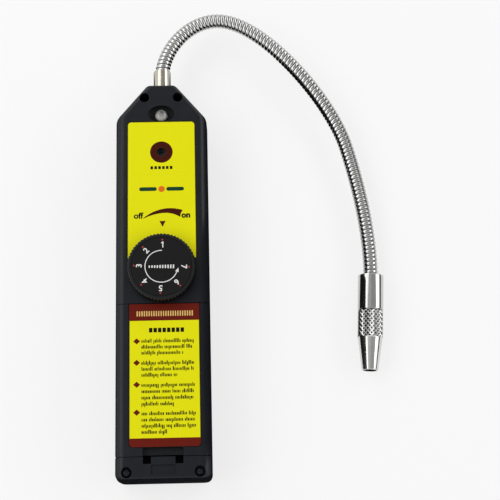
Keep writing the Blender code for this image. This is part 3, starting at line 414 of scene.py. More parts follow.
# Painted highlight and shade: the lens's colour runs from light at its lower end to dark at
# its upper end, along Y.
LENS = BandedFinish(
    "clear_lens", Slot.LENS, (150, 149, 147), 0.1, transmission=0.35, coat=0.6,
    bands=((0.0, (214, 213, 208)), (0.42, (164, 163, 160)), (0.6, (96, 96, 97)),
           (1.0, (44, 44, 46))),
    span=(86.2, 93.0), fade="LINEAR")
CELL_JACKET = BandedFinish(
    "cell_jacket", Slot.CELL, (52, 54, 58), 0.28, metallic=0.3, coat=0.5,
    bands=((0.0, (52, 54, 58)), (0.22, (186, 120, 60)), (0.3, (52, 54, 58))),
    span=(-76.0, -22.0))


def eased(corners: list[Corner], segments: int = 6, closed: bool = True) -> list[Point2]:
    """Round the corners of a line or an outline.

    Args:
        corners: (x, y, radius) of each corner; radius 0 keeps it sharp.
        segments: Steps in each rounded corner.
        closed: Whether the last corner joins the first.

    Returns:
        The points of the rounded line.
    """
    line: list[Point2] = []
    count = len(corners)
    for i, (x, y, radius) in enumerate(corners):
        if not radius or (not closed and i in (0, count - 1)):
            line.append((x, y))
            continue
        here = Vector((x, y))
        before = (Vector(corners[i - 1][:2]) - here).normalized()
        after = (Vector(corners[(i + 1) % count][:2]) - here).normalized()
        half = before.angle(after) / 2
        reach = radius / math.tan(half)
        centre = here + (before + after).normalized() * (radius / math.sin(half))
        first = here + before * reach - centre
        last = here + after * reach - centre
        turn = -first.angle_signed(last)
        for k in range(segments + 1):
            spoke = first.copy()
            spoke.rotate(Matrix.Rotation(turn * k / segments, 2))
            line.append(tuple(centre + spoke))
    return line


def rounding(radius: float, rise: float) -> float:
    """Return how far a rounded edge has drawn in at a rise above its start."""
    if rise <= 0:
        return 0.0
    return radius - math.sqrt(max(radius ** 2 - rise ** 2, 0.0))


def circle(count: int, radius: float = 1.0) -> list[Point2]:
    """Return evenly spaced points of a circle about the origin."""
    angles = [math.tau * k / count for k in range(count)]
    return [(radius * math.cos(angle), radius * math.sin(angle)) for angle in angles]


def shifted(x: float = 0.0, y: float = 0.0, z: float = 0.0) -> Matrix:
    """Return the matrix of a shift."""
    return Matrix.Translation((x, y, z))


def turned(degrees: float, axis: str = "Z") -> Matrix:
    """Return the matrix of a turn about one of the axes."""
    return Matrix.Rotation(math.radians(degrees), 4, axis)


def mirrored(spot: Point2) -> list[Point2]:
    """Return a spot and its mirror image in the middle plane."""
    return [spot, (-spot[0], spot[1])]


class Bench:
    """A mesh in the making, in millimetres."""

    def __init__(self) -> None:
        """Start with an empty mesh."""
        self.bm = bmesh.new()

    def plate(self, outline: list[Point2], low: float, high: float,
              edge: float = 0.0) -> "Bench":
        """Extrude an outline upwards.

        Args:
            outline: Points of the outline.
            low: Height of the lower face.
            high: Height of the upper face.
            edge: Width of the rounding round the upper face.

        Returns:
            The bench.
        """
        face = self.bm.faces.new([self.bm.verts.new((x, y, low)) for x, y in outline])
        grown = bmesh.ops.extrude_face_region(self.bm, geom=[face], use_keep_orig=True)
        tops = [item for item in grown["geom"] if isinstance(item, bmesh.types.BMVert)]
        bmesh.ops.translate(self.bm, vec=(0, 0, high - low), verts=tops)
        if edge:
            rim = [item for item in grown["geom"] if isinstance(item, bmesh.types.BMEdge)]
            bmesh.ops.bevel(self.bm, geom=rim, offset=edge, offset_type="OFFSET",
                            segments=2, profile=0.5, affect="EDGES", material=-1)
        return self

    def loft(self, rings: list[list[Corner]]) -> "Bench":
        """Grow a closed body through rings of equal counts of points.

        Args:
            rings: The rings, from the first cap to the last.

        Returns:
            The bench.
        """
        cap = first = self.bm.faces.new([self.bm.verts.new(point) for point in rings[0]])
        for ring in rings[1:]:
            grown = bmesh.ops.extrude_face_region(self.bm, geom=[cap], use_keep_orig=True)
            if cap is not first:
                bmesh.ops.delete(self.bm, geom=[cap], context="FACES_ONLY")
            cap = next(i for i in grown["geom"] if isinstance(i, bmesh.types.BMFace))
            for vert, point in zip(cap.verts, ring):
                vert.co = point
        return self

    def stack(self, layers: Iterable[tuple[list[Point2], float]]) -> "Bench":
        """Grow a closed body through level outlines, each given with its height."""
        return self.loft([[(x, y, level) for x, y in outline] for outline, level in layers])

    def turn(self, profile: list[Point2], segments: int = 48,
             closed: bool = False) -> "Bench":
        """Turn a profile about the Z axis.

        Args:
            profile: (radius, height) pairs.
            segments: Steps round the axis.
            closed: Whether the profile's last point joins its first.

        Returns:
            The bench.
        """
        verts = [self.bm.verts.new((radius, 0, height)) for radius, height in profile]
        pairs = list(zip(verts, verts[1:]))
        if closed:
            pairs.append((verts[-1], verts[0]))
        edges = [self.bm.edges.new(pair) for pair in pairs]
        bmesh.ops.spin(self.bm, geom=verts + edges, cent=(0, 0, 0), axis=(0, 0, 1),
                       dvec=(0, 0, 0), angle=math.tau, steps=segments, use_merge=True)
        bmesh.ops.remove_doubles(self.bm, verts=self.bm.verts, dist=MERGE)
        return self

    def block(self, low: Corner, high: Corner, edge: float = 0.0) -> "Bench":
        """Add a box between two corners.

        Args:
            low: Lowest corner.
            high: Highest corner.
            edge: Width of the rounding of its edges.

        Returns:
            The bench.
        """
        middle = (Vector(low) + Vector(high)) / 2
        size = Vector(high) - Vector(low)
        made = bmesh.ops.create_cube(
            self.bm, size=1.0,
            matrix=Matrix.Translation(middle) @ Matrix.Diagonal((*size, 1.0)))
        if edge:
            edges = {e for vert in made["verts"] for e in vert.link_edges}
            bmesh.ops.bevel(self.bm, geom=list(edges), offset=edge,
                            offset_type="OFFSET", segments=2, profile=0.5,
                            affect="EDGES", material=-1)
        return self

    def rod(self, spot: Point2, radius: float, low: float, high: float,
            segments: int = 40) -> "Bench":
        """Add an upright cylinder.

        Args:
            spot: Place of its axis.
            radius: Its radius.
            low: Height of its lower end.
            high: Height of its upper end.
            segments: Steps round it.

        Returns:
            The bench.
        """
        bmesh.ops.create_cone(
            self.bm, cap_ends=True, segments=segments, radius1=radius, radius2=radius,
            depth=high - low, matrix=Matrix.Translation((*spot, (low + high) / 2)))
        return self

    def sink(self, spot: Point2, radius: float, low: float, face: float,
             flare: float = 0.25) -> "Bench":
        """Add the cutter of a round hole whose rim is eased.

        Args:
            spot: Place of the hole's axis.
            radius: Its radius.
            low: Height of its floor.
            face: Height of the face that it opens in.
            flare: Width of the eased rim.

        Returns:
            The bench.
        """
        steps = [(radius, low), (radius, face - flare),
                 (radius + flare * 0.3, face - flare * 0.3), (radius + flare, face),
                 (radius + 2 * flare, face + flare)]
        return self.stack(([(spot[0] + x, spot[1] + y) for x, y in circle(40, r)], z)
                          for r, z in steps)

    def placed(self, matrix: Matrix) -> "Bench":
        """Move everything on the bench by a matrix."""
        bmesh.ops.transform(self.bm, matrix=matrix, verts=self.bm.verts)
        return self

    def with_tools(self, *steps: tuple[Operation, "Bench"]) -> "Bench":
        """Combine the body with other solids, in order.

        Args:
            steps: The operations and their tools, which are used up.

        Returns:
            The bench.
        """
        target = self.stand_in()
        tools = []
        for operation, tool in steps:
            tools.append(tool.stand_in())
            modifier = target.modifiers.new(operation.name, "BOOLEAN")
            modifier.operation = operation.value
            modifier.solver = "EXACT"
            modifier.object = tools[-1]
        self.take(target)
        for obj in (target, *tools):
            bpy.data.objects.remove(obj, do_unlink=True)
        bmesh.ops.remove_doubles(self.bm, verts=self.bm.verts, dist=MERGE)
        return self

    def stand_in(self) -> bpy.types.Object:
        """Return the mesh as a passing object, and empty the bench.

        Returns:
            The object.
        """
        bmesh.ops.recalc_face_normals(self.bm, faces=self.bm.faces)
        mesh = bpy.data.meshes.new("passing")
        self.bm.to_mesh(mesh)
        self.bm.clear()
        return add_object("passing", mesh)

    def take(self, obj: bpy.types.Object) -> None:
        """Load an object's mesh with its modifiers worked out.

        Args:
            obj: The object.
        """
        bpy.context.view_layer.update()
        graph = bpy.context.evaluated_depsgraph_get()
        mesh = bpy.data.meshes.new_from_object(obj.evaluated_get(graph))
        self.bm.from_mesh(mesh)
        bpy.data.meshes.remove(mesh)

    def mark_sunk(self, crest: float, depth: float, axis: Vector, low: float,
                  high: float) -> "Bench":
        """Mark each point with how deep it lies below the crests, from 0 to 1.

        Args:
            crest: Radius of the crests about the axis.
            depth: Depth that counts as 1.
            axis: Direction of the axis through the origin.
            low: Where the marked stretch of the axis begins.
            high: Where it ends.

        Returns:
            The bench.
        """
        layer = self.bm.verts.layers.float.new("sunk")
        for vert in self.bm.verts:
            along = vert.co.dot(axis)
            if low <= along <= high:
                below = (crest - (vert.co - axis * along).length) / depth
                vert[layer] = min(1.0, max(0.0, below))
        return self

    def finished(self, name: str, finish: Finish, smooth: float,
                 weighted: bool = False) -> bpy.types.Object:
        """Make the bench's mesh an object in metres.

        Args:
            name: Name of the piece.
            finish: Its finish.
            smooth: Angle in degrees up to which edges are shaded smooth.
            weighted: Whether large faces rule the shading round them.

        Returns:
            The piece.
        """
        bmesh.ops.recalc_face_normals(self.bm, faces=self.bm.faces)
        bmesh.ops.scale(self.bm, vec=(MM, MM, MM), verts=self.bm.verts)
        mesh = bpy.data.meshes.new(name)
        self.bm.to_mesh(mesh)
        self.bm.free()
        mesh.polygons.foreach_set("use_smooth", [True] * len(mesh.polygons))
        mesh.set_sharp_from_angle(angle=math.radians(smooth))
        mesh.materials.append(finish.material())
        obj = add_object(name, mesh)
        if weighted:
            modifier = obj.modifiers.new("even_shading", "WEIGHTED_NORMAL")
            modifier.keep_sharp = True
        return obj

    def fitted(self, name: str, body: Body, finish: Finish, *nodes: str,
               smooth: float = 40.0, weighted: bool = False) -> bpy.types.Object:
        """Make the bench's mesh a piece, fix it to its body and hide the solids that it
        stands for.

        Args:
            name: Name of the piece.
            body: The body that it moves with.
            finish: Its finish.
            nodes: The solids that it stands for.
            smooth: Angle in degrees up to which edges are shaded smooth.
            weighted: Whether large faces rule the shading round them.

        Returns:
            The piece.
        """
        piece = self.finished(name, finish, smooth, weighted)
        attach(piece, body.value)
        if nodes:
            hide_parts(*nodes)
        LOG.info("%s on %s, %d faces", name, body.value, len(piece.data.polygons))
        return piece


@dataclass
class CaseForm:
    """Outside and hollow of the two-part case."""

    half_width: float = 25.0
    half_length: float = 107.5
    depth: float = 32.0
    parting: float = 16.0
    parting_gap: float = 0.3
    wall: float = 2.2
    top_half_flat: float = 8.5
    shoulder_drop: float = 19.6
    side_round: float = 5.0
    end_round: float = 1.6
    draft: float = 0.4
    label_half: float = 18.3
    label_gap: float = 0.3
    label_recess: float = 0.6

    def ring(self, side: float, end: float, height: float) -> list[Corner]:
        """Return the outline, drawn in by a side inset and an end inset.

        Args:
            side: Inset of the long sides.
            end: Inset of the two ends.
            height: Height of the ring.

        Returns:
            The points of the ring.
        """
        half = self.half_width - side
        top = self.half_length - end
        run = self.half_width - self.top_half_flat
        rise = self.shoulder_drop
        slant = (side + end) / 2 * math.hypot(run, rise)
        level = self.half_length - rise
        constant = rise * self.half_width + run * level - slant
        shoulder = (constant - rise * half) / run
        flat = (constant - run * top) / rise
        corners = [
            (half, -top, 3.0), (half, shoulder, 6.0), (flat, top, 2.5),
            (-flat, top, 2.5), (-half, shoulder, 6.0), (-half, -top, 3.0),
        ]
        return [(x, y, height) for x, y in eased(corners, 6)]

    def half(self, low: float, high: float, outward: int) -> Bench:
        """Make one half's outside between two levels from the parting plane.

        Args:
            low: Level of the rim.
            high: Level of the flat face.
            outward: 1 for the front half and -1 for the back half.

        Returns:
            The bench.
        """
        depth = self.depth - self.parting
        steps = 9
        levels = [depth - self.side_round * (1 - math.sin(math.pi / 2 * k / steps))
                  for k in range(steps + 1)]
        levels = [low + 0.25] + [level for level in levels if low + 0.3 < level < high]
        rings = [self.ring(0.22 + self.draft * low / depth, 0.22,
                           self.parting + outward * low)]
        for level in [*levels, high]:
            drawn = self.draft * level / depth
            side = drawn + rounding(self.side_round, level - depth + self.side_round)
            end = drawn + rounding(self.end_round, level - depth + self.end_round)
            rings.append(self.ring(side, end, self.parting + outward * level))
        return Bench().loft(rings)

    def hollow(self, low: float, outward: int) -> Bench:
        """Make the cutter of one half's hollow.

        Args:
            low: Level where it begins, below the rim.
            outward: 1 for the front half and -1 for the back half.

        Returns:
            The bench.
        """
        depth = self.depth - self.parting
        rings = []
        for level, extra in ((low, 0.0), (depth - 6.0, 0.3), (depth - 3.6, 1.3),
                             (depth - self.wall, 3.4)):
            rings.append(self.ring(self.wall + extra, self.wall + extra * 0.2,
                                   self.parting + outward * level))
        return Bench().loft(rings)

    def label_pocket(self, x: float, low: float, high: float) -> Bench:
        """Make the cutter of a label's pocket, with an eased rim.

        Args:
            x: Middle of the label across.
            low: Lower end of the label.
            high: Upper end of the label.

        Returns:
            The bench.
        """
        layers = []
        for grow, drop in ((0.0, self.label_recess), (0.0, 0.15), (0.15, 0.0),
                           (0.5, -0.35)):
            reach = self.label_gap + grow
            radius = 2.3 + grow
            left, right = x - self.label_half - reach, x + self.label_half + reach
            layers.append((eased([
                (right, low - reach, radius), (right, high + reach, radius),
                (left, high + reach, radius), (left, low - reach, radius)], 8),
                self.depth - drop))
        return Bench().stack(layers)


@dataclass
class CaseShells:
    """The case's front and rear shells."""

    form: CaseForm = field(default_factory=CaseForm)
    seam_upper: float = -16.1
    seam_lower: float = -96.0
    skirt: float = 22.7
    tongue_half: float = 6.2
    tongue_end: float = -104.6
    tongue_recess: float = 0.8
    slot_width: float = 4.1
    slot_length: float = 3.5
    bridge: float = 0.5
    label_low: float = 8.2
    label_high: float = 85.4
    lamp_y: float = 89.6
    lamp_hole: float = 3.7
    dish: Corner = (90.0, 7.0, 4.75)
    dish_floor: float = 30.6
    sound_y: float = 67.8
    sound_hole: float = 2.55
    knob_y: float = 2.0
    bush_hole: float = 4.1
    top_screw: Point2 = (9.1, 99.7)
    end_screw: Point2 = (18.7, -103.7)
    top_seat: float = 22.0
    end_seat: float = 28.6
    boss_radius: float = 3.3
    screw_bore: float = 1.4
    bay: Point2 = (-81.4, -21.3)
    bay_half: float = 21.8
    bay_top: float = 26.0
    rib: float = 1.6
    cell_pitch: float = 14.8
    cell_height: float = 19.6
    trough_radius: float = 7.55
    neck_hole: float = 4.3

    def front(self) -> None:
        """Make the front shell with its end block, latch tongue, dish and screw wells."""
        form = self.form
        face = form.depth
        opening = Bench().block((-30, self.seam_lower, self.skirt),
                                (30, self.seam_upper, face + 5))
        lamp_pad = Bench().rod((0, self.lamp_y), 8.0, face - form.wall - 1.6,
                               face - form.wall + 0.4)
        wall = self.seam_lower - self.slot_length - 0.9
        end_wall = Bench().block((-23, wall - 1.6, self.skirt - 4), (23, wall, 30.2))
        wells = Bench()
        wells.sink((0, self.lamp_y), self.lamp_hole, face - 8, self.dish_floor, 0.2)
        wells.sink((0, self.sound_y), self.sound_hole, face - 5, face - form.label_recess)
        wells.rod((0, self.knob_y), self.bush_hole, face - 5, face + 1)
        pads, bores = Bench(), Bench()
        for screw, seat, radius, flare in ((self.top_screw, self.top_seat, 2.6, 0.5),
                                           (self.end_screw, self.end_seat, 2.8, 0.3)):
            for spot in mirrored(screw):
                pads.rod(spot, self.boss_radius, form.parting + 0.15,
                         face - form.wall + 0.4, 24)
                wells.sink(spot, radius, seat, face, flare)
                bores.rod(spot, self.screw_bore, form.parting - 1, seat + 1, 16)
        slots = Bench()
        for side in (1, -1):
            near, far = sorted((side * self.tongue_half,
                                side * (self.tongue_half + self.slot_width)))
            slots.block((near, self.seam_lower - self.slot_length, face - 6),
                        (far, self.seam_lower + 1, face + 1))
        tongue = Bench().block(
            (-self.tongue_half, self.tongue_end, face - self.tongue_recess),
            (self.tongue_half, self.seam_lower - self.slot_length - self.bridge, face + 1))
        bench = form.half(form.parting_gap / 2, face - form.parting, 1).with_tools(
            (Operation.CUT, form.hollow(-1.0, 1)),
            (Operation.JOIN, pads),
            (Operation.JOIN, lamp_pad),
            (Operation.JOIN, end_wall),
            (Operation.CUT, opening),
            (Operation.CUT, form.label_pocket(0.0, self.label_low, self.label_high)),
            (Operation.CUT, self.lamp_dish()),
            (Operation.CUT, wells),
            (Operation.CUT, bores),
            (Operation.CUT, slots),
            (Operation.CUT, tongue),
            (Operation.CUT, self.neck_cutter()),
        )
        self.paint_dish_shade(bench.fitted("case_front", Body.CASE, CASE_PLASTIC, "front_shell",
                                     smooth=32, weighted=True))

    def paint_dish_shade(self, piece: bpy.types.Object) -> None:
        """Give the dish round the lamp its own, duller finish, whose darker colour is
        painted shade in the recess.

        Args:
            piece: The front shell, in metres.
        """
        middle, across, along = self.dish
        piece.data.materials.append(DULL_DISH_PAINTED_SHADE.material())
        for face in piece.data.polygons:
            spot = face.center / MM
            share = math.hypot(spot.x / across, (spot.y - middle) / along)
            if share < 1.02 and self.dish_floor - 3 < spot.z < self.form.depth - 0.05:
                face.material_index = 1

    def lamp_dish(self) -> Bench:
        """Return the cutter of the oval dish round the lamp.

        Returns:
            The bench.
        """
        middle, across, along = self.dish
        face = self.form.depth
        steps = ((0.72, 0.86, self.dish_floor), (0.8, 0.9, self.dish_floor + 0.1),
                 (0.96, 0.975, face - 0.35), (1.0, 1.0, face - 0.1), (1.03, 1.03, face),
                 (1.12, 1.12, face + 0.5))
        return Bench().stack(
            ([(across * wide * x, middle + along * tall * y) for x, y in circle(64)], level)
            for wide, tall, level in steps)

    def neck_cutter(self) -> Bench:
        """Return the cutter of the hole for the ferrule's shank."""
        place = shifted(0, self.form.half_length - 1, self.form.parting) @ turned(90, "X")
        return Bench().rod((0, 0), self.neck_hole, -3, 3, 48).placed(place)

    def rear(self) -> None:
        """Make the rear shell with its bosses, bay walls and cell cradles."""
        form = self.form
        floor = form.wall - 0.4
        top = form.parting - form.parting_gap / 2
        bosses = Bench()
        bores = Bench()
        for spot in mirrored(self.top_screw) + mirrored(self.end_screw):
            bosses.rod(spot, self.boss_radius, floor, top, 24)
            bores.rod(spot, self.screw_bore, form.wall + 1.4, form.parting + 1, 16)
        low, high = self.bay
        half, rib = self.bay_half, self.rib
        walls = Bench()
        walls.block((-half, high, floor), (half, high + rib, self.bay_top))
        walls.block((-half, low - rib, floor), (half, low, self.bay_top))
        cradles, troughs = Bench(), Bench()
        middle = (low + high) / 2
        for y in (middle - 18, middle, middle + 18):
            cradles.block((-half, y - rib / 2, floor), (half, y + rib / 2, 15.4))
        for x in (-self.cell_pitch, 0.0, self.cell_pitch):
            bmesh.ops.create_cone(
                troughs.bm, cap_ends=True, segments=40, radius1=self.trough_radius,
                radius2=self.trough_radius, depth=46,
                matrix=shifted(x, middle, self.cell_height) @ turned(90, "X"))
        bench = form.half(form.parting_gap / 2, form.depth - form.parting, -1).with_tools(
            (Operation.CUT, form.hollow(-1.0, -1)),
            (Operation.JOIN, bosses),
            (Operation.JOIN, walls),
            (Operation.JOIN, cradles),
            (Operation.CUT, troughs),
            (Operation.CUT, bores),
            (Operation.CUT, self.neck_cutter()),
        )
        bench.fitted("case_rear", Body.CASE, CASE_PLASTIC, "rear_shell", smooth=32,
                     weighted=True)

    def build(self) -> None:
        """Make both shells."""
        self.front()
        self.rear()


@dataclass
class BatteryCover:
    """Cover over the cells, with a finger notch, two hooks and its label's pocket."""

    form: CaseForm = field(default_factory=CaseForm)
    seam_upper: float = -16.1
    seam_lower: float = -96.0
    skirt: float = 22.7
    gap: float = 0.3
    slope: float = 1.2
    notch_half: float = 10.35
    notch_length: float = 4.8
    notch_depth: float = 3.7
    notch_corner: float = 0.5
    hook_x: float = 12.0
    label_x: float = 1.0
    label_low: float = -91.0

    def outside(self) -> Bench:
        """Return the block that trims the cover to its length, with eased seam edges.

        Returns:
            The bench.
        """
        low = self.seam_lower + self.gap
        high = self.seam_upper - self.gap
        face = self.form.depth
        return Bench().stack(
            ([(-30, low + start), (30, low + start), (30, high), (-30, high)], level)
            for level, start in ((self.skirt - 1, self.slope), (face - 0.5, 0.0),
                                 (face + 1, 0.0)))

    def build(self) -> None:
        """Make the cover."""
        form = self.form
        face = form.depth
        low = self.seam_lower + self.gap
        high = self.seam_upper - self.gap
        pad = self.notch_half + 1.6
        floor = face - self.notch_depth
        notch_pad = Bench().stack(
            ([(-pad, low + start), (pad, low + start), (pad, low + 7.0), (-pad, low + 7.0)],
             level) for start, level in ((1.0, floor - 1.4), (0.4, face - 1.8)))
        layers = []
        for grow, level in ((0.0, floor), (0.0, face - 0.2), (0.2, face),
                            (0.6, face + 0.4)):
            half, foot = self.notch_half + grow, self.seam_lower - 1
            end = self.seam_lower + self.notch_length + grow
            layers.append((eased([
                (half, foot, 0.0), (half, end, self.notch_corner),
                (-half, end, self.notch_corner), (-half, foot, 0.0)], 5), level))
        notch = Bench().stack(layers)
        roots, hooks = Bench(), Bench()
        for x in (self.hook_x, -self.hook_x):
            roots.block((x - 3, high - 2.6, face - 4.4), (x + 3, high - 0.2, face - 1.8))
            hooks.block((x - 3, high - 2.0, face - 4.4), (x + 3, high + 2.9, face - 2.7))
        start = self.skirt + self.gap - form.parting
        bench = form.half(start, face - form.parting, 1).with_tools(
            (Operation.CUT, form.hollow(-1.0, 1)),
            (Operation.KEEP, self.outside()),
            (Operation.JOIN, notch_pad),
            (Operation.CUT, notch),
            (Operation.JOIN, roots),
            (Operation.JOIN, hooks),
            (Operation.CUT, form.label_pocket(self.label_x, self.label_low,
                                              self.seam_upper + 4)),
        )
        bench.fitted("cover_shell", Body.COVER, CASE_PLASTIC, "battery_cover", smooth=32,
                     weighted=True)


@dataclass
class Printing:
    """Thin inks on a flat face."""

    body: Body
    level: float
    thick: float = 0.04

    def shape(self, name: str, outlines: list[list[Point2]], finish: Finish,
              matrix: Matrix = Matrix.Identity(4)) -> None:
        """Print filled outlines.

        Args:
            name: Name of the piece.
            outlines: The outlines, which don't cross.
            finish: The ink.
            matrix: Place of the outlines' frame.
        """
        bench = Bench()
        for outline in outlines:
            bench.plate(outline, 0.0, self.thick)
        self.laid(bench, name, finish, matrix)

    def laid(self, bench: Bench, name: str, finish: Finish,
             matrix: Matrix = Matrix.Identity(4)) -> None:
        """Lay a thin body on the face.

        Args:
            bench: The body, on the plane of its own frame.
            name: Name of the piece.
            finish: The ink.
            matrix: Place of its frame.
        """
        lift = shifted(z=self.level + 0.01)
        bench.placed(lift @ matrix).fitted(name, self.body, finish, smooth=20)

    def glyphs(self, text: str, height: float, weight: float) -> Bench:
        """Set generic characters as a thin body, centred on the origin.

        Args:
            text: The characters.
            height: Height of the set line.
            weight: How far each stroke is thickened.

        Returns:
            The bench.
        """
        curve = bpy.data.curves.new("glyphs", "FONT")
        curve.body = text
        curve.size = height * 1.4
        curve.offset = weight
        curve.extrude = self.thick / 2
        curve.resolution_u = 3
        obj = add_object("glyphs", curve)
        bench = Bench()
        bench.take(obj)
        bpy.data.objects.remove(obj, do_unlink=True)
        bmesh.ops.remove_doubles(bench.bm, verts=bench.bm.verts, dist=MERGE)
        xs = [v.co.x for v in bench.bm.verts]
        ys = [v.co.y for v in bench.bm.verts]
        scale = height / (max(ys) - min(ys))
        middle = Vector(((max(xs) + min(xs)) / 2, (max(ys) + min(ys)) / 2, 0))
        grow = Matrix.Diagonal((scale, scale, 1, 1))
        return bench.placed(shifted(z=self.thick / 2) @ grow @ shifted(*-middle))


def oblong(x: float, y: float, width: float, height: float, radius: float = 0.0,
           segments: int = 3) -> list[Point2]:
    """Return the outline of a rectangle about its middle.

    Args:
        x: Place of the middle across.
        y: Place of the middle along.
        width: Its width.
        height: Its height.
        radius: Radius of its corners.
        segments: Steps in each corner.

    Returns:
        The outline.
    """
    a, b = width / 2, height / 2
    return eased([(x + a, y - b, radius), (x + a, y + b, radius),
                  (x - a, y + b, radius), (x - a, y - b, radius)], segments)


@dataclass
class FrontLabel:
    """Yellow label on the front shell, its hole, its ring and its marks."""

    face: float = 32.0
    thick: float = 0.3
    half: float = 18.3
    low: float = 8.2
    high: float = 85.4
    corner: float = 2.0
    shade_border: float = 0.3
    sound_y: float = 67.8
    sound_hole: float = 2.55
    ring_radius: float = 6.1
    knob_y: float = 2.0
    knob_clear: float = 8.95

    def sheet(self, inset: float, low: float, high: float) -> Bench:
        """Return the label's outline with its holes as a thin sheet.

        Args:
            inset: How far it stays within the label's edge.
            low: Height of its lower face.
            high: Height of its upper face.

        Returns:
            The bench.
        """
        half, radius = self.half - inset, self.corner - inset
        outline = eased([
            (half, self.low + inset, 0.3), (half, self.high - inset, radius),
            (-half, self.high - inset, radius), (-half, self.low + inset, 0.3)], 10)
        holes = Bench()
        holes.rod((0, self.sound_y), self.sound_hole + inset, 27, 33, 48)
        holes.rod((0, self.knob_y), self.knob_clear, 27, 33, 48)
        return Bench().plate(outline, low, high).with_tools((Operation.CUT, holes))

    def film(self) -> None:
        """Make the label's film, whose edge shows as a dark rim of painted shadow, and its
        yellow ground.
        """
        # The film shows only as a dark rim round the ground: painted shadow at the pocket's
        # edge.
        edge = self.sheet(0.0, self.face - self.thick, self.face - 0.02)
        edge.fitted("label_film_shade_edge_front", Body.CASE, LABEL_EDGE_SHADE, "front_label", smooth=30)
        ground = self.sheet(self.shade_border, self.face - 0.025, self.face)
        ground.fitted("label_ground_front", Body.CASE, LABEL_YELLOW, smooth=30)

    def swoosh(self) -> list[Point2]:
        """Return the outline of the tapering sweep between off and on.

        Returns:
            The outline.
        """
        upper = interpolate_bezier((-9.7, 30.7, 0), (-3.4, 35.6, 0), (3.6, 37.2, 0),
                                   (11.2, 34.8, 0), 20)
        lower = interpolate_bezier((9.8, 30.9, 0), (4.6, 34.6, 0), (-2.2, 33.8, 0),
                                   (-9.7, 30.4, 0), 20)
        end = [Vector((10.2, 33.0, 0))]
        return [(p.x, p.y) for p in [*upper, *end, *lower]]

    def build(self) -> None:
        """Make the film and print on it."""
        self.film()
        press = Printing(Body.CASE, self.face)
        ring = Bench()
        ring.turn([(self.sound_hole + 0.05, 0.0), (self.ring_radius, 0.0),
                   (self.ring_radius, press.thick), (self.sound_hole + 0.05, press.thick)],
                  64, closed=True)
        press.laid(ring, "print_sound_ring", PRINT_BROWN, shifted(0, self.sound_y))
        ticks = [oblong(-5.2 + 2.08 * k, 58.9, 1.35, 1.7, 0.25) for k in range(6)]
        press.shape("print_sound_marks", ticks, PRINT_BLACK)
        press.shape("print_motif_lines",
                    [oblong(x, 46.8, 9.4, 2.1, 1.0, 6) for x in (-7.3, 7.3)], PRINT_GREEN)
        press.shape("print_motif_dot", [oblong(0, 46.8, 3.4, 3.4, 1.69, 8)], PRINT_ORANGE)
        press.shape("print_sweep", [self.swoosh()], PRINT_BROWN)
        press.shape("print_pointer", [[(-1.2, 28.8), (2.0, 28.8), (0.4, 25.6)]],
                  PRINT_BROWN)
        for text, height, x, y in (("off", 3.5, -12.35, 32.0), ("on", 2.5, 12.85, 31.6)):
            press.laid(press.glyphs(text, height, 0.15), f"print_{text}", PRINT_BLACK,
                       shifted(x, y))


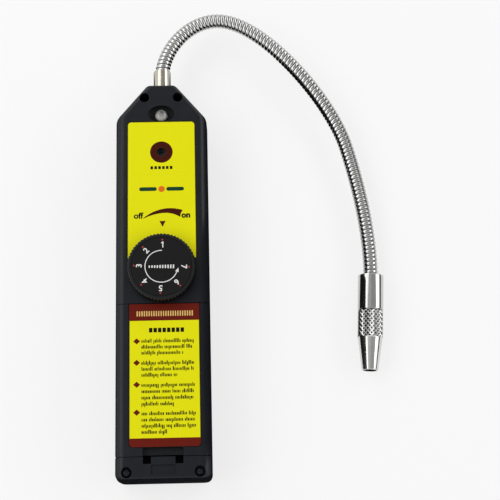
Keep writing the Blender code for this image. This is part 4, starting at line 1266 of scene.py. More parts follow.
@dataclass
class CoverLabel:
    """Label on the battery cover, with its bands, marks and rows of small print."""

    face: float = 32.0
    thick: float = 0.3
    x: float = 1.0
    half: float = 18.3
    low: float = -91.0
    high: float = -16.5
    corner: float = 2.0
    shade_border: float = 0.3
    header_low: float = -25.4
    footer_high: float = -86.6
    text_left: float = -10.9
    text_right: float = 17.0
    bullet: Corner = (-13.4, 1.8, 1.55)
    rows: tuple[tuple[float, float, tuple[float, ...]], ...] = (
        (-36.4, 3.12, (1.0, 1.0, 0.79)),
        (-48.0, 3.12, (1.0, 1.0, 0.68)),
        (-59.5, 3.25, (1.0, 1.0, 1.0, 0.61)),
        (-74.2, 3.15, (1.02, 1.0, 1.02, 0.5)),
    )

    def outline(self, low: float, high: float, inset: float = 0.0) -> list[Point2]:
        """Return the part of the label's outline between two places along it.

        Args:
            low: Lower end.
            high: Upper end.
            inset: How far its sides stay within the label's edge.

        Returns:
            The outline.
        """
        lower = self.corner - inset if low <= self.low + inset else 0.0
        upper = 0.2 if high >= self.high else 0.0
        left, right = self.x - self.half + inset, self.x + self.half - inset
        return eased([(right, low, lower), (right, high, upper), (left, high, upper),
                      (left, low, lower)], 8)

    def small_print(self) -> list[list[Point2]]:
        """Return rows of short strokes in groups, as dense as small print but unread.

        Returns:
            The outlines of the strokes.
        """
        chance = random.Random(7)
        strokes = []
        for first, pitch, lengths in self.rows:
            for index, share in enumerate(lengths):
                y = first - pitch * index
                end = self.text_left + (self.text_right - self.text_left) * share
                x = self.text_left
                left_in_word = chance.randint(2, 8)
                while x < end - 0.7:
                    width = chance.choice((0.34, 0.46, 0.46, 0.6))
                    height = chance.choice((1.35, 1.35, 2.05))
                    lift = (height - 1.35) / 2 * chance.choice((1, 1, -1))
                    strokes.append(oblong(x + width / 2, y + lift, width, height, 0.08, 1))
                    x += width + 0.3
                    left_in_word -= 0.5
                    if left_in_word <= 0:
                        x += 0.75
                        left_in_word = chance.randint(2, 8)
        return strokes

    def build(self) -> None:
        """Make the film and print on it."""
        # The film shows only as a dark rim round the ground: painted shadow at the pocket's
        # edge.
        film = Bench().plate(self.outline(self.low, self.high), self.face - self.thick,
                             self.face - 0.02)
        film.fitted("label_film_shade_edge_cover", Body.COVER, LABEL_EDGE_SHADE, "cover_label", smooth=30)
        edge = self.shade_border
        ground = Bench().plate(self.outline(self.low + edge, self.high - edge, edge),
                               self.face - 0.025, self.face)
        ground.fitted("label_ground_cover", Body.COVER, LABEL_YELLOW, smooth=30)
        press = Printing(Body.COVER, self.face)
        for name, low, high in (("print_header", self.header_low, self.high),
                                ("print_footer", self.low, self.footer_high)):
            press.shape(name, [self.outline(low, high)], PRINT_MAROON)
        over = Printing(Body.COVER, self.face + 0.05)
        blocks = [oblong(-13.1 + 1.25 * k, -21.7, 0.66, 2.8, 0.2) for k in range(24)]
        over.shape("print_header_marks", blocks, PRINT_GOLD)
        heading = [oblong(-6.1 + 2.35 * k, -30.5, 1.75, 2.4, 0.25) for k in range(8)]
        press.shape("print_heading_marks", heading, PRINT_BLACK)
        x, wide, tall = self.bullet
        bullets = [[(x + wide, y), (x, y + tall), (x - wide, y), (x, y - tall)]
                   for y in (-36.3, -47.6, -59.0, -73.4)]
        press.shape("print_bullets", bullets, PRINT_MAROON)
        press.shape("print_small_rows", self.small_print(), PRINT_TEXT)


@dataclass
class SensitivityKnob:
    """Fluted knob with a flat dial, its scale and its arc."""

    y: float = 2.0
    radius: float = 18.1
    bottom: float = 32.7
    top: float = 39.2
    flutes: int = 60
    flute_depth: float = 0.5
    bevel: float = 0.9
    wall: float = 1.8
    roof: float = 2.4
    hub_radius: float = 7.2
    nut_room: float = 6.9
    nut_top: float = 35.3
    shaft_end: float = 37.3
    dial_radius: float = 15.9
    dial_thick: float = 0.4
    shaft_radius: float = 3.0
    arc_radius: float = 8.6
    arc_width: float = 0.46
    scale_radius: float = 11.8
    dot_radius: float = 14.4
    dial_turn: float = -2.3
    scale: tuple[int, ...] = (90, 135, 180, 225, 270, 315, 0)

    def ring(self, radius: float, depth: float, height: float) -> list[Corner]:
        """Return a fluted ring.

        Args:
            radius: Radius over the flutes' crests.
            depth: Depth of the flutes.
            height: Height of the ring.

        Returns:
            The points of the ring.
        """
        ring = []
        count = self.flutes * 6
        for k in range(count):
            angle = math.tau * k / count
            wave = (1 - math.cos(self.flutes * angle)) / 2
            reach = radius - depth * wave ** 2
            ring.append((reach * math.cos(angle), self.y + reach * math.sin(angle), height))
        return ring

    def body(self) -> None:
        """Make the fluted body with its hollow underside."""
        rings = [self.ring(self.radius - 0.5, 0.1, self.bottom),
                 self.ring(self.radius - 0.1, self.flute_depth, self.bottom + 0.35)]
        steps = 5
        for k in range(steps + 1):
            angle = math.pi / 2 * k / steps
            inset = self.bevel * (1 - math.cos(angle))
            rise = self.bevel * math.sin(angle)
            depth = self.flute_depth * (1 - k / steps) ** 0.6
            rings.append(self.ring(self.radius - inset, depth,
                                   self.top - self.bevel + rise))
        roof, under = self.top - self.roof, self.bottom - 1
        inside, hub = self.radius - self.wall, self.hub_radius
        hollow = Bench().turn([(hub, under), (inside, under), (inside, roof), (hub, roof)],
                              64, closed=True).placed(shifted(0, self.y))
        bores = Bench().rod((0, self.y), self.shaft_radius + 0.2, 34, self.shaft_end)
        bush = Bench().rod((0, self.y), self.nut_room, under, self.nut_top)
        seat = Bench().rod((0, self.y), self.dial_radius + 0.2,
                           self.top - self.dial_thick - 0.3, self.top + 1, 96)
        bench = Bench().loft(rings).with_tools(
            (Operation.CUT, hollow), (Operation.CUT, bores), (Operation.CUT, bush),
            (Operation.CUT, seat))
        bench.fitted("knob_body", Body.KNOB, KNOB_PLASTIC, "sensitivity_knob",
                     weighted=True)

    def dial(self) -> None:
        """Make the dial plate."""
        low = self.top - self.dial_thick
        edge = self.dial_radius
        profile = [(0, low), (edge, low), (edge, self.top - 0.12), (edge - 0.12, self.top),
                   (0, self.top)]
        bench = Bench().turn(profile, 96).placed(shifted(0, self.y))
        bench.fitted("dial_face", Body.KNOB, DIAL_PLASTIC, "dial_plate", smooth=30)

    def arc(self) -> Bench:
        """Return the printed arc with its arrowhead, about the origin.

        Returns:
            The bench.
        """
        bench = Bench()
        inner = self.arc_radius - self.arc_width / 2
        outer = self.arc_radius + self.arc_width / 2
        start, sweep = math.radians(90), math.radians(252)
        turn = Matrix.Rotation(start, 3, "Z")
        verts = [bench.bm.verts.new(turn @ Vector((r, 0, z)))
                 for r, z in ((inner, 0), (outer, 0), (outer, 0.04), (inner, 0.04))]
        face = bench.bm.faces.new(verts)
        bmesh.ops.spin(bench.bm, geom=[face], cent=(0, 0, 0), axis=(0, 0, 1),
                       dvec=(0, 0, 0), angle=sweep, steps=60, use_merge=False)
        angle = start + sweep
        tip = Matrix.Rotation(angle, 2)
        corners = [(self.arc_radius - 0.95, -0.1), (self.arc_radius + 0.95, -0.1),
                   (self.arc_radius + 0.1, 2.2)]
        bench.plate([tuple(tip @ Vector(c)) for c in corners], 0.0, 0.04)
        return bench

    def first_digit(self) -> Bench:
        """Return a 1 with its flag, about the origin."""
        return Bench().plate([(0.05, -1.6), (0.62, -1.6), (0.62, 1.6), (0.16, 1.6),
                              (-0.6, 1.05), (-0.6, 0.5), (0.05, 0.85)], 0.0, 0.04)

    def build(self) -> None:
        """Make the knob and print its scale."""
        self.body()
        self.dial()
        press = Printing(Body.KNOB, self.top)
        centre = shifted(0, self.y) @ turned(self.dial_turn)
        press.laid(self.arc(), "print_arc", PRINT_WHITE, centre)
        level_bars = [oblong(-6.3 + 1.4 * k, -1.0 + (1.2 + 0.1 * k) / 2, 0.72,
                             1.2 + 0.1 * k, 0.12, 2) for k in range(10)]
        press.shape("print_level_bars", level_bars, PRINT_WHITE, centre)
        for index, degrees in enumerate(self.scale):
            spot = centre @ turned(degrees) @ shifted(self.scale_radius) @ turned(-90)
            digit = press.glyphs(str(index + 1), 3.2, 0.1) if index else self.first_digit()
            press.laid(digit, f"print_digit_{index + 1}", PRINT_WHITE, spot)
        dots = [oblong(self.dot_radius * math.cos(math.radians(degrees)),
                       self.dot_radius * math.sin(math.radians(degrees)), 0.9, 0.9, 0.44, 4)
                for degrees in self.scale]
        press.shape("print_dots", dots, PRINT_RED, centre)


@dataclass
class Lamp:
    """Frosted indicator lamp."""

    y: float = 89.6
    radius: float = 3.4
    top: float = 33.3
    base: float = 27.9
    flange_radius: float = 4.3
    flange_height: float = 1.6
    dome_share: float = 0.75

    def build(self) -> None:
        """Make the lamp."""
        r, foot, flange = self.radius, self.base - self.flange_height, self.flange_radius
        profile = [(0, foot), (flange, foot), (flange, self.base), (r, self.base)]
        dome = r * self.dome_share
        for k in range(13):
            angle = math.pi / 2 * k / 12
            profile.append((r * math.cos(angle), self.top - dome + dome * math.sin(angle)))
        bench = Bench().turn(profile, 48).placed(shifted(0, self.y))
        # The lens's finish carries a painted highlight below and painted shade above.
        bench.fitted("lamp_lens", Body.CASE, LENS, "led_lens")


@dataclass
class CaseScrews:
    """Four cross-headed screws."""

    spots: tuple[Corner, ...] = (
        (9.1, 99.7, 22.3), (-9.1, 99.7, 22.3), (18.7, -103.7, 28.9), (-18.7, -103.7, 28.9))
    head_radius: float = 2.15
    head_height: float = 1.9
    shank_radius: float = 1.1
    slot_length: float = 2.6
    slot_width: float = 0.6
    length: float = 18.0

    def build(self) -> None:
        """Make the screws."""
        for index, (x, y, under) in enumerate(self.spots):
            top = under + self.head_height
            r = self.head_radius
            profile = eased([
                (0.0, under - self.length, 0.0), (0.6, under - self.length + 0.3, 0.0),
                (self.shank_radius, under - self.length + 1.8, 0.0),
                (self.shank_radius, under, 0.0), (r, under, 0.0), (r, top - 0.8, 0.3),
                (r - 0.7, top - 0.12, 0.3), (0.0, top, 0.0)], 4, closed=False)
            bench = Bench().turn(profile, 32)
            for sideways in (0, 90):
                slot = Bench().stack(
                    (oblong(0, 0, self.slot_length * k, self.slot_width), z)
                    for k, z in ((0.55, top - 1.2), (1.0, top - 0.15), (1.1, top + 0.5)))
                bench.with_tools((Operation.CUT, slot.placed(turned(sideways))))
            bench.placed(shifted(x, y) @ turned(20 + 37 * index))
            bench.fitted(f"cross_screw_{index + 1}", Body.CASE, BLACK_STEEL,
                         f"case_screw_{index + 1}", smooth=35)


@dataclass
class Neck:
    """Ferrule, wound gooseneck and the lead in it."""

    ferrule_top: float = 121.3
    shank_end: float = 101.0
    shank_radius: float = 4.0
    case_face: float = 107.8
    collar_radius: float = 5.2
    play: float = 0.25
    seat: float = 3.0
    height: float = 16.0
    radius: float = 4.05
    groove: float = 0.55
    bore: float = 2.3
    pitch: float = 2.3
    around: int = 24
    lead_radius: float = 1.2
    rise: float = 31.6
    reach: float = 113.5
    fall: float = 118.5
    tip_radius: float = 7.0
    tip_lean: float = 3.3

    def head_place(self) -> Matrix:
        """Return the frame whose Z runs along the probe head from its open face."""
        place = shifted(self.reach, self.ferrule_top - self.fall, self.tip_radius)
        return place @ turned(-self.tip_lean) @ turned(90, "X")

    def knots(self) -> list[tuple[Vector, Vector, float, float]]:
        """Return the centre line's knots: place, heading, and reach of both handles.

        Returns:
            The knots, from the ferrule to the head.
        """
        head = self.head_place()
        end = head @ Vector((0, 0, 4.0))
        heading = (head.to_3x3() @ Vector((0, 0, 1))).normalized()
        base, rise, sink = self.ferrule_top, self.rise, self.height - self.tip_radius
        return [
            (Vector((0, base - self.seat, self.height)), Vector((0, 1, 0)),
             rise * 0.16, rise * 0.5),
            (Vector((self.reach * 0.28, base + rise, self.height - sink * 0.11)),
             Vector((1, 0, -0.02)), rise * 0.54, rise * 0.475),
            (Vector((self.reach * 0.666, base + self.fall * 0.023,
                     self.height - sink * 0.42)),
             Vector((0.645, -0.762, -0.05)), rise * 0.54, rise * 0.57),
            (Vector((self.reach * 0.909, base - self.fall * 0.382,
                     self.height - sink * 0.756)),
             Vector((0.262, -0.964, -0.05)), rise * 0.57, self.fall * 0.2),
            (end, heading, self.fall * 0.22, rise * 0.13),
        ]

    def length(self) -> float:
        """Return the length of the centre line.

        Returns:
            The length.
        """
        total = 0.0
        for (a, da, _, out), (b, db, back, _) in zip(self.knots(), self.knots()[1:]):
            line = interpolate_bezier(a, a + da.normalized() * out,
                                      b - db.normalized() * back, b, 49)
            total += sum((q - p).length for p, q in zip(line, line[1:]))
        return total

    def centre_line(self, lead: bool = False) -> bpy.types.Object:
        """Return the centre line as a curve in millimetres.

        Args:
            lead: Whether it is a round lead that begins inside the case.

        Returns:
            The curve's object.
        """
        curve = bpy.data.curves.new("centre_line", "CURVE")
        curve.dimensions = "3D"
        curve.resolution_u = 24
        curve.twist_mode = "MINIMUM"
        knots = self.knots()
        if lead:
            tail = Vector((0, 95.0, self.height))
            knots.insert(0, (tail, Vector((0, 1, 0)), 2.0, 6.0))
            curve.bevel_depth = self.lead_radius
            curve.bevel_resolution = 3
            curve.use_fill_caps = True
        spline = curve.splines.new("BEZIER")
        spline.bezier_points.add(len(knots) - 1)
        for point, (place, heading, back, out) in zip(spline.bezier_points, knots):
            heading = heading.normalized()
            point.co = place
            point.handle_left_type = point.handle_right_type = "FREE"
            point.handle_left = place - heading * back
            point.handle_right = place + heading * out
        return add_object("centre_line", curve)

    def wound_tube(self, length: float) -> Bench:
        """Wind a rounded strip into a straight tube along X, with a plain bore.

        Args:
            length: Length of the tube.

        Returns:
            The bench.
        """
        bench = Bench()
        bm = bench.bm
        turns = round(length / self.pitch)
        pitch = length / turns
        strip = [(pitch * (share - 1.0), self.radius - self.groove * sink)
                 for share, sink in ((0.0, 1.0), (0.09, 0.6), (0.2, 0.2), (0.36, 0.03),
                                     (0.5, 0.0), (0.64, 0.03), (0.8, 0.2), (0.91, 0.6),
                                     (1.0, 1.0))]
        verts = [bm.verts.new((x, 0, r)) for x, r in strip]
        edges = [bm.edges.new(pair) for pair in zip(verts, verts[1:])]
        bmesh.ops.spin(bm, geom=verts + edges, cent=(0, 0, 0), axis=(1, 0, 0),
                       dvec=(pitch / self.around, 0, 0), angle=math.tau * (turns + 1),
                       steps=self.around * (turns + 1), use_merge=False)
        bmesh.ops.remove_doubles(bm, verts=bm.verts, dist=0.05)
        for x, side in ((0.0, -1), (length, 1)):
            bmesh.ops.bisect_plane(bm, geom=[*bm.verts, *bm.edges, *bm.faces], dist=0.001,
                                   plane_co=(x, 0, 0), plane_no=(side, 0, 0),
                                   clear_outer=True)
        rims = [[e for e in bm.edges if e.is_boundary
                 and all(abs(v.co.x - x) < 0.01 for v in e.verts)] for x in (0.0, length)]
        rim = bmesh.ops.create_circle(bm, segments=self.around, radius=self.bore,
                                      matrix=turned(90, "Y"))
        ring = list({e for v in rim["verts"] for e in v.link_edges})
        first = ring
        steps = 90
        for _ in range(steps):
            grown = bmesh.ops.extrude_edge_only(bm, edges=ring)["geom"]
            ring = [item for item in grown if isinstance(item, bmesh.types.BMEdge)]
            verts = [item for item in grown if isinstance(item, bmesh.types.BMVert)]
            bmesh.ops.translate(bm, vec=(length / steps, 0, 0), verts=verts)
        bmesh.ops.bridge_loops(bm, edges=rims[0] + first)
        bmesh.ops.bridge_loops(bm, edges=rims[1] + ring)
        # The sunk marks set where the wound chrome's painted groove shade falls.
        return bench.mark_sunk(self.radius, self.groove, Vector((1, 0, 0)), -1.0,
                               length + 1)

    def gooseneck(self) -> None:
        """Make the wound tube and bend it along the centre line."""
        tube = self.wound_tube(self.length()).stand_in()
        line = self.centre_line()
        bend = tube.modifiers.new("bend", "CURVE")
        bend.object = line
        bend.deform_axis = "POS_X"
        bench = Bench()
        bench.take(tube)
        for obj in (tube, line):
            bpy.data.objects.remove(obj, do_unlink=True)
        piece = bench.finished("wound_neck", WOUND_CHROME, 60)
        self.flexing(piece, "gooseneck")

    def lead(self) -> None:
        """Make the lead inside the tube."""
        line = self.centre_line(lead=True)
        bench = Bench()
        bench.take(line)
        bpy.data.objects.remove(line, do_unlink=True)
        bmesh.ops.remove_doubles(bench.bm, verts=bench.bm.verts, dist=MERGE)
        piece = bench.finished("neck_lead", LEAD_RUBBER, 40)
        self.flexing(piece, "sensor_lead")

    def flexing(self, piece: bpy.types.Object, node: str) -> None:
        """Bake a piece's place into its mesh and hide the solid that it stands for.

        Args:
            piece: The piece, in place.
            node: The solid that it stands for.
        """
        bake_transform(piece)
        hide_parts(node)
        LOG.info("%s bends to the head, %d faces", piece.name, len(piece.data.polygons))

    def ferrule(self) -> None:
        """Make the polished ferrule at the neck's root."""
        top, foot, shoulder = self.ferrule_top, self.shank_end, self.case_face
        mouth, seat = self.radius + self.play, self.ferrule_top - self.seat - 0.3
        profile = eased([
            (self.bore, foot, 0.0), (self.shank_radius, foot, 0.2),
            (self.shank_radius, shoulder, 0.0), (self.collar_radius, shoulder, 0.25),
            (self.collar_radius, shoulder + 1.7, 0.5), (4.78, shoulder + 2.6, 0.4),
            (4.72, top - 0.2, 0.5), (mouth, top, 0.2), (mouth, seat, 0.0),
            (self.bore, seat, 0.0)], 5)
        place = shifted(z=self.height) @ turned(-90, "X")
        bench = Bench().turn(profile, 64, closed=True).placed(place)
        bench.fitted("ferrule_sleeve", Body.CASE, NICKEL, "neck_ferrule")

    def build(self) -> None:
        """Make the neck's pieces."""
        self.ferrule()
        self.gooseneck()
        self.lead()


@dataclass
class ProbeHead:
    """Socket, sensor and knurled tip guard at the neck's end."""

    neck: Neck = field(default_factory=Neck)
    radius: float = 7.0
    socket_length: float = 19.5
    spigot_radius: float = 5.7
    spigot_end: float = 25.0
    knurl_end: float = 35.0
    guard_end: float = 52.7
    mouth_radius: float = 4.4
    mouth_bore: float = 3.6
    knurls: int = 18
    knurl_rows: int = 11
    knurl_depth: float = 0.5
    holder_radius: float = 4.6
    holder_seat: float = 8.0
    neck_seat: float = 4.3
    crest_drop: float = 0.05

    def socket(self) -> None:
        """Make the smooth socket that the neck plugs into."""
        r, end, spigot = self.radius, self.socket_length, self.spigot_radius
        inside, seat = self.neck.radius + self.neck.play, self.holder_radius + 0.2
        profile = eased([
            (inside, 0.0, 0.25), (r, 0.0, 0.6), (r, end, 0.3), (spigot, end, 0.0),
            (spigot, self.spigot_end, 0.4), (seat, self.spigot_end, 0.0),
            (seat, self.holder_seat, 0.0), (self.neck.bore, self.holder_seat, 0.0),
            (self.neck.bore, self.neck_seat, 0.0), (inside, self.neck_seat, 0.0)], 5)
        bench = Bench().turn(profile, 72, closed=True).placed(self.neck.head_place())
        bench.fitted("head_socket", Body.HEAD, CHROME, "probe_socket")

    def holder(self) -> None:
        """Make the white sensor holder."""
        r, end = self.holder_radius, self.spigot_end
        foot, front, pin = self.holder_seat + 0.3, end + 3.6, 1.6
        profile = eased([(0, foot, 0.0), (r, foot, 0.2), (r, front, 0.6),
                         (pin, front, 0.2), (pin, end + 0.6, 0.0), (0, end + 0.6, 0.0)],
                        4, closed=False)
        bench = Bench().turn(profile, 48).placed(self.neck.head_place())
        bench.fitted("holder_insulator", Body.HEAD, CERAMIC, "sensor_holder")

    def electrode(self) -> None:
        """Make the sensor's electrode."""
        s = self.spigot_end + 0.9
        profile = eased([(0, s, 0.0), (1.3, s, 0.1), (1.3, s + 12.0, 0.3),
                         (2.2, s + 12.4, 0.2), (2.2, s + 15.0, 0.4), (0.8, s + 16.0, 0.5),
                         (0, s + 18.0, 0.0)], 4, closed=False)
        bench = Bench().turn(profile, 36).placed(self.neck.head_place())
        bench.fitted("electrode_pin", Body.HEAD, STEEL, "sensor_electrode")

    def guard(self) -> None:
        """Make the tip guard with its diamond knurl and polished cone."""
        begin = self.socket_length + 0.3
        low, high = begin + 0.5, self.knurl_end - 0.5
        spokes = self.knurls * 2
        crest = self.radius - self.crest_drop
        levels = [(crest - 0.45, begin, 0), (crest - 0.12, begin + 0.3, 0)]
        for k in range(self.knurl_rows + 1):
            share = k / self.knurl_rows
            levels.append((crest, low + (high - low) * share, 1 if k % 2 else -1))
        cone = self.guard_end - 0.5
        levels += [(crest - 0.1, self.knurl_end - 0.15, 0),
                   (crest - 0.3, self.knurl_end + 0.3, 0)]
        for k in range(1, 5):
            share = k / 4
            level = self.knurl_end + 0.3 + (cone - self.knurl_end - 0.3) * share
            levels.append((crest - 0.3 + (self.mouth_radius + 0.12 - crest + 0.3) * share,
                           level, 0))
        levels += [(self.mouth_radius - 0.02, self.guard_end - 0.15, 0),
                   (self.mouth_radius - 0.25, self.guard_end, 0)]
        rings = []
        for radius, level, phase in levels:
            ring = []
            for k, (x, y) in enumerate(circle(spokes)):
                sunk = phase and (k % 2 == 0) == (phase > 0)
                reach = radius - (self.knurl_depth if sunk else 0.0)
                ring.append((reach * x, reach * y, level))
            rings.append(ring)
        body = Bench().loft(rings)
        self.crease(body)
        # The sunk marks set where the knurl's painted groove shade falls.
        body.mark_sunk(crest, self.knurl_depth, Vector((0, 0, 1)), low - 0.1, high + 0.1)
        inside, mouth, end = self.spigot_radius + 0.3, self.mouth_bore, self.guard_end
        bore = Bench().turn([
            (0, begin - 1), (inside, begin - 1), (inside, self.knurl_end - 2.0),
            (inside - 0.6, self.knurl_end + 2.0), (mouth, end - 2.0), (mouth, end - 0.2),
            (mouth + 0.3, end + 0.1), (mouth + 0.3, end + 1), (0, end + 1)], 48)
        body.with_tools((Operation.CUT, bore)).placed(self.neck.head_place())
        body.fitted("guard_shell", Body.GUARD, KNURLED_CHROME, "tip_guard", smooth=16)

    def crease(self, body: Bench) -> None:
        """Split the knurl's faces across its pits, so that each pit is four-sided.

        Args:
            body: The guard's outside, about the Z axis.
        """
        crest = self.radius - self.crest_drop
        for face in list(body.bm.faces):
            if len(face.verts) != 4:
                continue
            sunk = [v for v in face.verts
                    if math.hypot(v.co.x, v.co.y) < crest - 0.9 * self.knurl_depth]
            raised = [v for v in face.verts if math.hypot(v.co.x, v.co.y) > crest - 0.01]
            if len(sunk) == 2 and len(raised) == 2:
                bmesh.utils.face_split(face, raised[0], raised[1])

    def build(self) -> None:
        """Make the head's pieces."""
        self.socket()
        self.holder()
        self.electrode()
        self.guard()


@dataclass
class Cells:
    """Three cells in the bay under the cover."""

    radius: float = 7.25
    length: float = 50.5
    nub: float = 1.3
    nub_radius: float = 2.75
    xs: tuple[float, ...] = (-14.8, 0.0, 14.8)
    z: float = 19.6

    def build(self) -> None:
        """Make the cells, side by side and turned about."""
        body = self.length - self.nub
        profile = eased([
            (0, 0, 0.0), (self.radius - 1.6, 0, 0.2), (self.radius - 1.4, 0.3, 0.1),
            (self.radius, 0.3, 0.5), (self.radius, body, 0.5),
            (self.nub_radius, body, 0.1), (self.nub_radius, self.length, 0.3),
            (0, self.length, 0.0)], 4, closed=False)
        for index, x in enumerate(self.xs):
            low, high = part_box(f"battery_{index + 1}")
            up = index != 1
            start = (low.y if up else high.y) / MM
            place = shifted(x, start, self.z) @ turned(-90 if up else 90, "X")
            Bench().turn(profile, 48).placed(place).fitted(
                f"cell_{index + 1}", Body.CASE, CELL_JACKET, f"battery_{index + 1}")


@dataclass
class InnerParts:
    """Solids inside the case that keep their own shape and get a finish."""

    nodes: dict[str, bpy.types.Object]
    finishes: dict[str, Finish] = field(default_factory=lambda: {
        "led_holder": BLACK_PLASTIC, "buzzer": BLACK_PLASTIC, "potentiometer": STEEL,
        "pot_nut": STEEL, "pot_shaft": STEEL, "main_board": BOARD,
        "timer_chip": BLACK_PLASTIC, "amplifier_chip": BLACK_PLASTIC,
        "step_up_transformer": COMPONENT, "trimmer": COMPONENT,
        "smoothing_capacitor": COMPONENT, "tone_capacitor": COMPONENT,
        "high_voltage_module": POTTING, "neck_nut": STEEL,
    })

    def build(self) -> None:
        """Give every solid that is still shown its finish."""
        for name, node in self.nodes.items():
            if node.hide_render:
                continue
            finish = self.finishes.get(name, STEEL)
            node.data.materials.clear()
            node.data.materials.append(finish.material())
            LOG.info("%s keeps its solid, finished as %s", name, finish.name)


def sheet(name: str, half: float, matrix: Matrix) -> bpy.types.Object:
    """Add a flat square sheet to the stage.

    Args:
        name: Its name.
        half: Half its width before it is placed.
        matrix: Its place, in metres.

    Returns:
        The sheet.
    """
    bm = bmesh.new()
    bmesh.ops.create_grid(bm, x_segments=1, y_segments=1, size=half)
    bmesh.ops.transform(bm, matrix=matrix, verts=bm.verts)
    mesh = bpy.data.meshes.new(name)
    bm.to_mesh(mesh)
    bm.free()
    return add_object(name, mesh)


@dataclass(frozen=True)
class Card:
    """A studio card that only polished surfaces see."""

    name: str
    centre: Corner
    aim: Corner
    size: Point2
    level: float

    def build(self) -> None:
        """Hang the card so that it faces its aim."""
        away = Vector(self.centre) - Vector(self.aim)
        facing = away.to_track_quat("Z", "Y").to_matrix().to_4x4()
        grow = Matrix.Diagonal((*self.size, 1.0, 1.0))
        card = sheet(self.name, 0.5, shifted(*self.centre) @ facing @ grow)
        material = bpy.data.materials.new(self.name)
        material.use_nodes = True
        tree = material.node_tree
        tree.nodes.clear()
        glow = add_node(tree, "Emission", {"Color": (*[self.level] * 3, 1)})
        out = add_node(tree, "OutputMaterial")
        tree.links.new(glow.outputs[0], out.inputs["Surface"])
        card.data.materials.append(material)
        card.visible_camera = card.visible_diffuse = card.visible_shadow = False
        card.visible_transmission = False


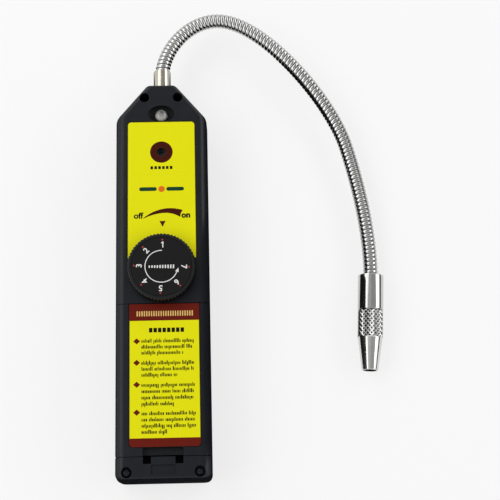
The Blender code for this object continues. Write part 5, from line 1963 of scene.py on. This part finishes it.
@dataclass
class Studio:
    """Floor, sky, lamps, cards and the camera."""

    lens: float = 90.17
    camera_place: Corner = (28.85, -163.35, 673.8)
    camera_angles: Corner = (15.30, -1.217, -1.388)
    floor_half: float = 3.0
    floor_shade: float = 0.86
    floor_glow: float = 0.72
    sky_fill: float = 0.53
    cards: tuple[Card, ...] = (
        Card("card_over_left", (-1.2, 0.5, 1.5), (-1.2, 0.5, 0), (2.6, 3.2), 0.52),
        Card("card_over_right", (1.0, 0.5, 1.5), (1.0, 0.5, 0), (1.8, 3.2), 0.38),
        Card("card_right_strip", (1.35, 0.3, 0.58), (0.1, 0.3, 0.0), (3.4, 0.66), 1.5),
        Card("card_line", (-0.65, 0.3, 1.1), (0.1, 0.3, 0.0), (3.4, 0.2), 1.3),
        Card("flag_right_head", (0.19, -0.025, 0.012), (0, -0.025, 0.012),
             (0.15, 0.024), 0.05),
        Card("flag_right_neck", (0.175, 0.115, 0.05), (0, 0.115, 0.05), (0.13, 0.06), 0.3),
        Card("flag_right_low", (0.175, 0.115, 0.01), (0, 0.115, 0.01), (0.13, 0.02),
             0.03),
        Card("flag_left_head", (0.045, -0.03, 0.035), (0.1, -0.03, 0.035),
             (0.13, 0.07), 0.012),
        Card("flag_left_neck", (0.05, 0.075, 0.014), (0.1, 0.075, 0.014), (0.08, 0.028),
             0.012),
        Card("flag_floor", (0.0, -0.05, 0.0006), (0.0, -0.05, 1.0), (0.18, 0.36), 0.012),
    )

    def see_white(self, tree: bpy.types.NodeTree) -> bpy.types.Node:
        """Return a node that is 1 where the camera, gloss or glass looks.

        Args:
            tree: Node tree to add it to.

        Returns:
            The node.
        """
        path = add_node(tree, "LightPath")
        total = path.outputs["Is Camera Ray"]
        for name in ("Is Glossy Ray", "Is Transmission Ray"):
            either = add_node(tree, "Math")
            either.operation = "MAXIMUM"
            tree.links.new(total, either.inputs[0])
            tree.links.new(path.outputs[name], either.inputs[1])
            total = either.outputs[0]
        return total.node

    def floor(self) -> None:
        """Lay the pale floor, which keeps the object's shadow."""
        floor = sheet("floor", self.floor_half, shifted(0.05, 0.02, -0.0002))
        material = bpy.data.materials.new("floor_paper")
        material.use_nodes = True
        tree = material.node_tree
        shader = tree.nodes["Principled BSDF"]
        shader.inputs["Base Color"].default_value = (*[self.floor_shade] * 3, 1)
        shader.inputs["Roughness"].default_value = 0.9
        shader.inputs["Specular IOR Level"].default_value = 0.1
        glow = add_node(tree, "Emission", {"Color": (1, 1, 1, 1)})
        share = add_node(tree, "Math")
        share.operation = "MULTIPLY"
        share.inputs[1].default_value = self.floor_glow
        tree.links.new(self.see_white(tree).outputs[0], share.inputs[0])
        mix = add_node(tree, "MixShader")
        tree.links.new(share.outputs[0], mix.inputs["Fac"])
        tree.links.new(shader.outputs[0], mix.inputs[1])
        tree.links.new(glow.outputs[0], mix.inputs[2])
        tree.links.new(mix.outputs[0], tree.nodes["Material Output"].inputs["Surface"])
        floor.data.materials.append(material)

    def sky(self) -> None:
        """Set the world: white where it is looked at, and a plain fill elsewhere."""
        world = bpy.data.worlds.new("studio")
        bpy.context.scene.world = world
        world.use_nodes = True
        tree = world.node_tree
        back = tree.nodes["Background"]
        back.inputs["Color"].default_value = (1, 1, 1, 1)
        level = add_node(tree, "MapRange", {"To Min": self.sky_fill, "To Max": 1.0})
        tree.links.new(self.see_white(tree).outputs[0], level.inputs["Value"])
        tree.links.new(level.outputs["Result"], back.inputs["Strength"])

    def lamp(self, name: str, place: Corner, size: Point2, power: float) -> None:
        """Hang a soft box that faces the object.

        Args:
            name: Name of the lamp.
            place: Its place, in metres.
            size: Its width and height, in metres.
            power: Its power in watts.
        """
        data = bpy.data.lights.new(name, "AREA")
        data.shape = "RECTANGLE"
        data.size, data.size_y = size
        data.energy = power
        lamp = add_object(name, data)
        lamp.location = place
        lamp.rotation_mode = "QUATERNION"
        lamp.rotation_quaternion = Vector(place).to_track_quat("Z", "Y")
        lamp.visible_camera = False

    def camera(self) -> None:
        """Set the camera as the photograph's stood."""
        data = bpy.data.cameras.new("camera")
        data.sensor_width = 36.0
        data.lens = self.lens
        data.clip_start, data.clip_end = 0.05, 20
        camera = add_object("camera", data)
        camera.location = Vector(self.camera_place) * MM
        camera.rotation_euler = [math.radians(angle) for angle in self.camera_angles]
        bpy.context.scene.camera = camera

    def build(self) -> None:
        """Set up the stage, the light and the camera."""
        self.floor()
        self.sky()
        self.lamp("soft_left", (-0.94, 0.3, 1.04), (2.4, 0.8), 12.0)
        self.lamp("soft_right", (1.15, 0.3, 0.75), (2.2, 0.5), 6.5)
        for card in self.cards:
            card.build()
        self.camera()
        bpy.context.scene.view_settings.view_transform = "Standard"


def main() -> None:
    """Build every piece in order."""
    logging.basicConfig(level=logging.INFO, format="%(name)s: %(message)s")
    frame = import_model()
    CaseShells().build()
    BatteryCover().build()
    FrontLabel().build()
    CoverLabel().build()
    SensitivityKnob().build()
    Lamp().build()
    CaseScrews().build()
    Neck().build()
    ProbeHead().build()
    Cells().build()
    InnerParts(frame["nodes"]).build()
    Studio().build()


if __name__ == "__main__":
    main()
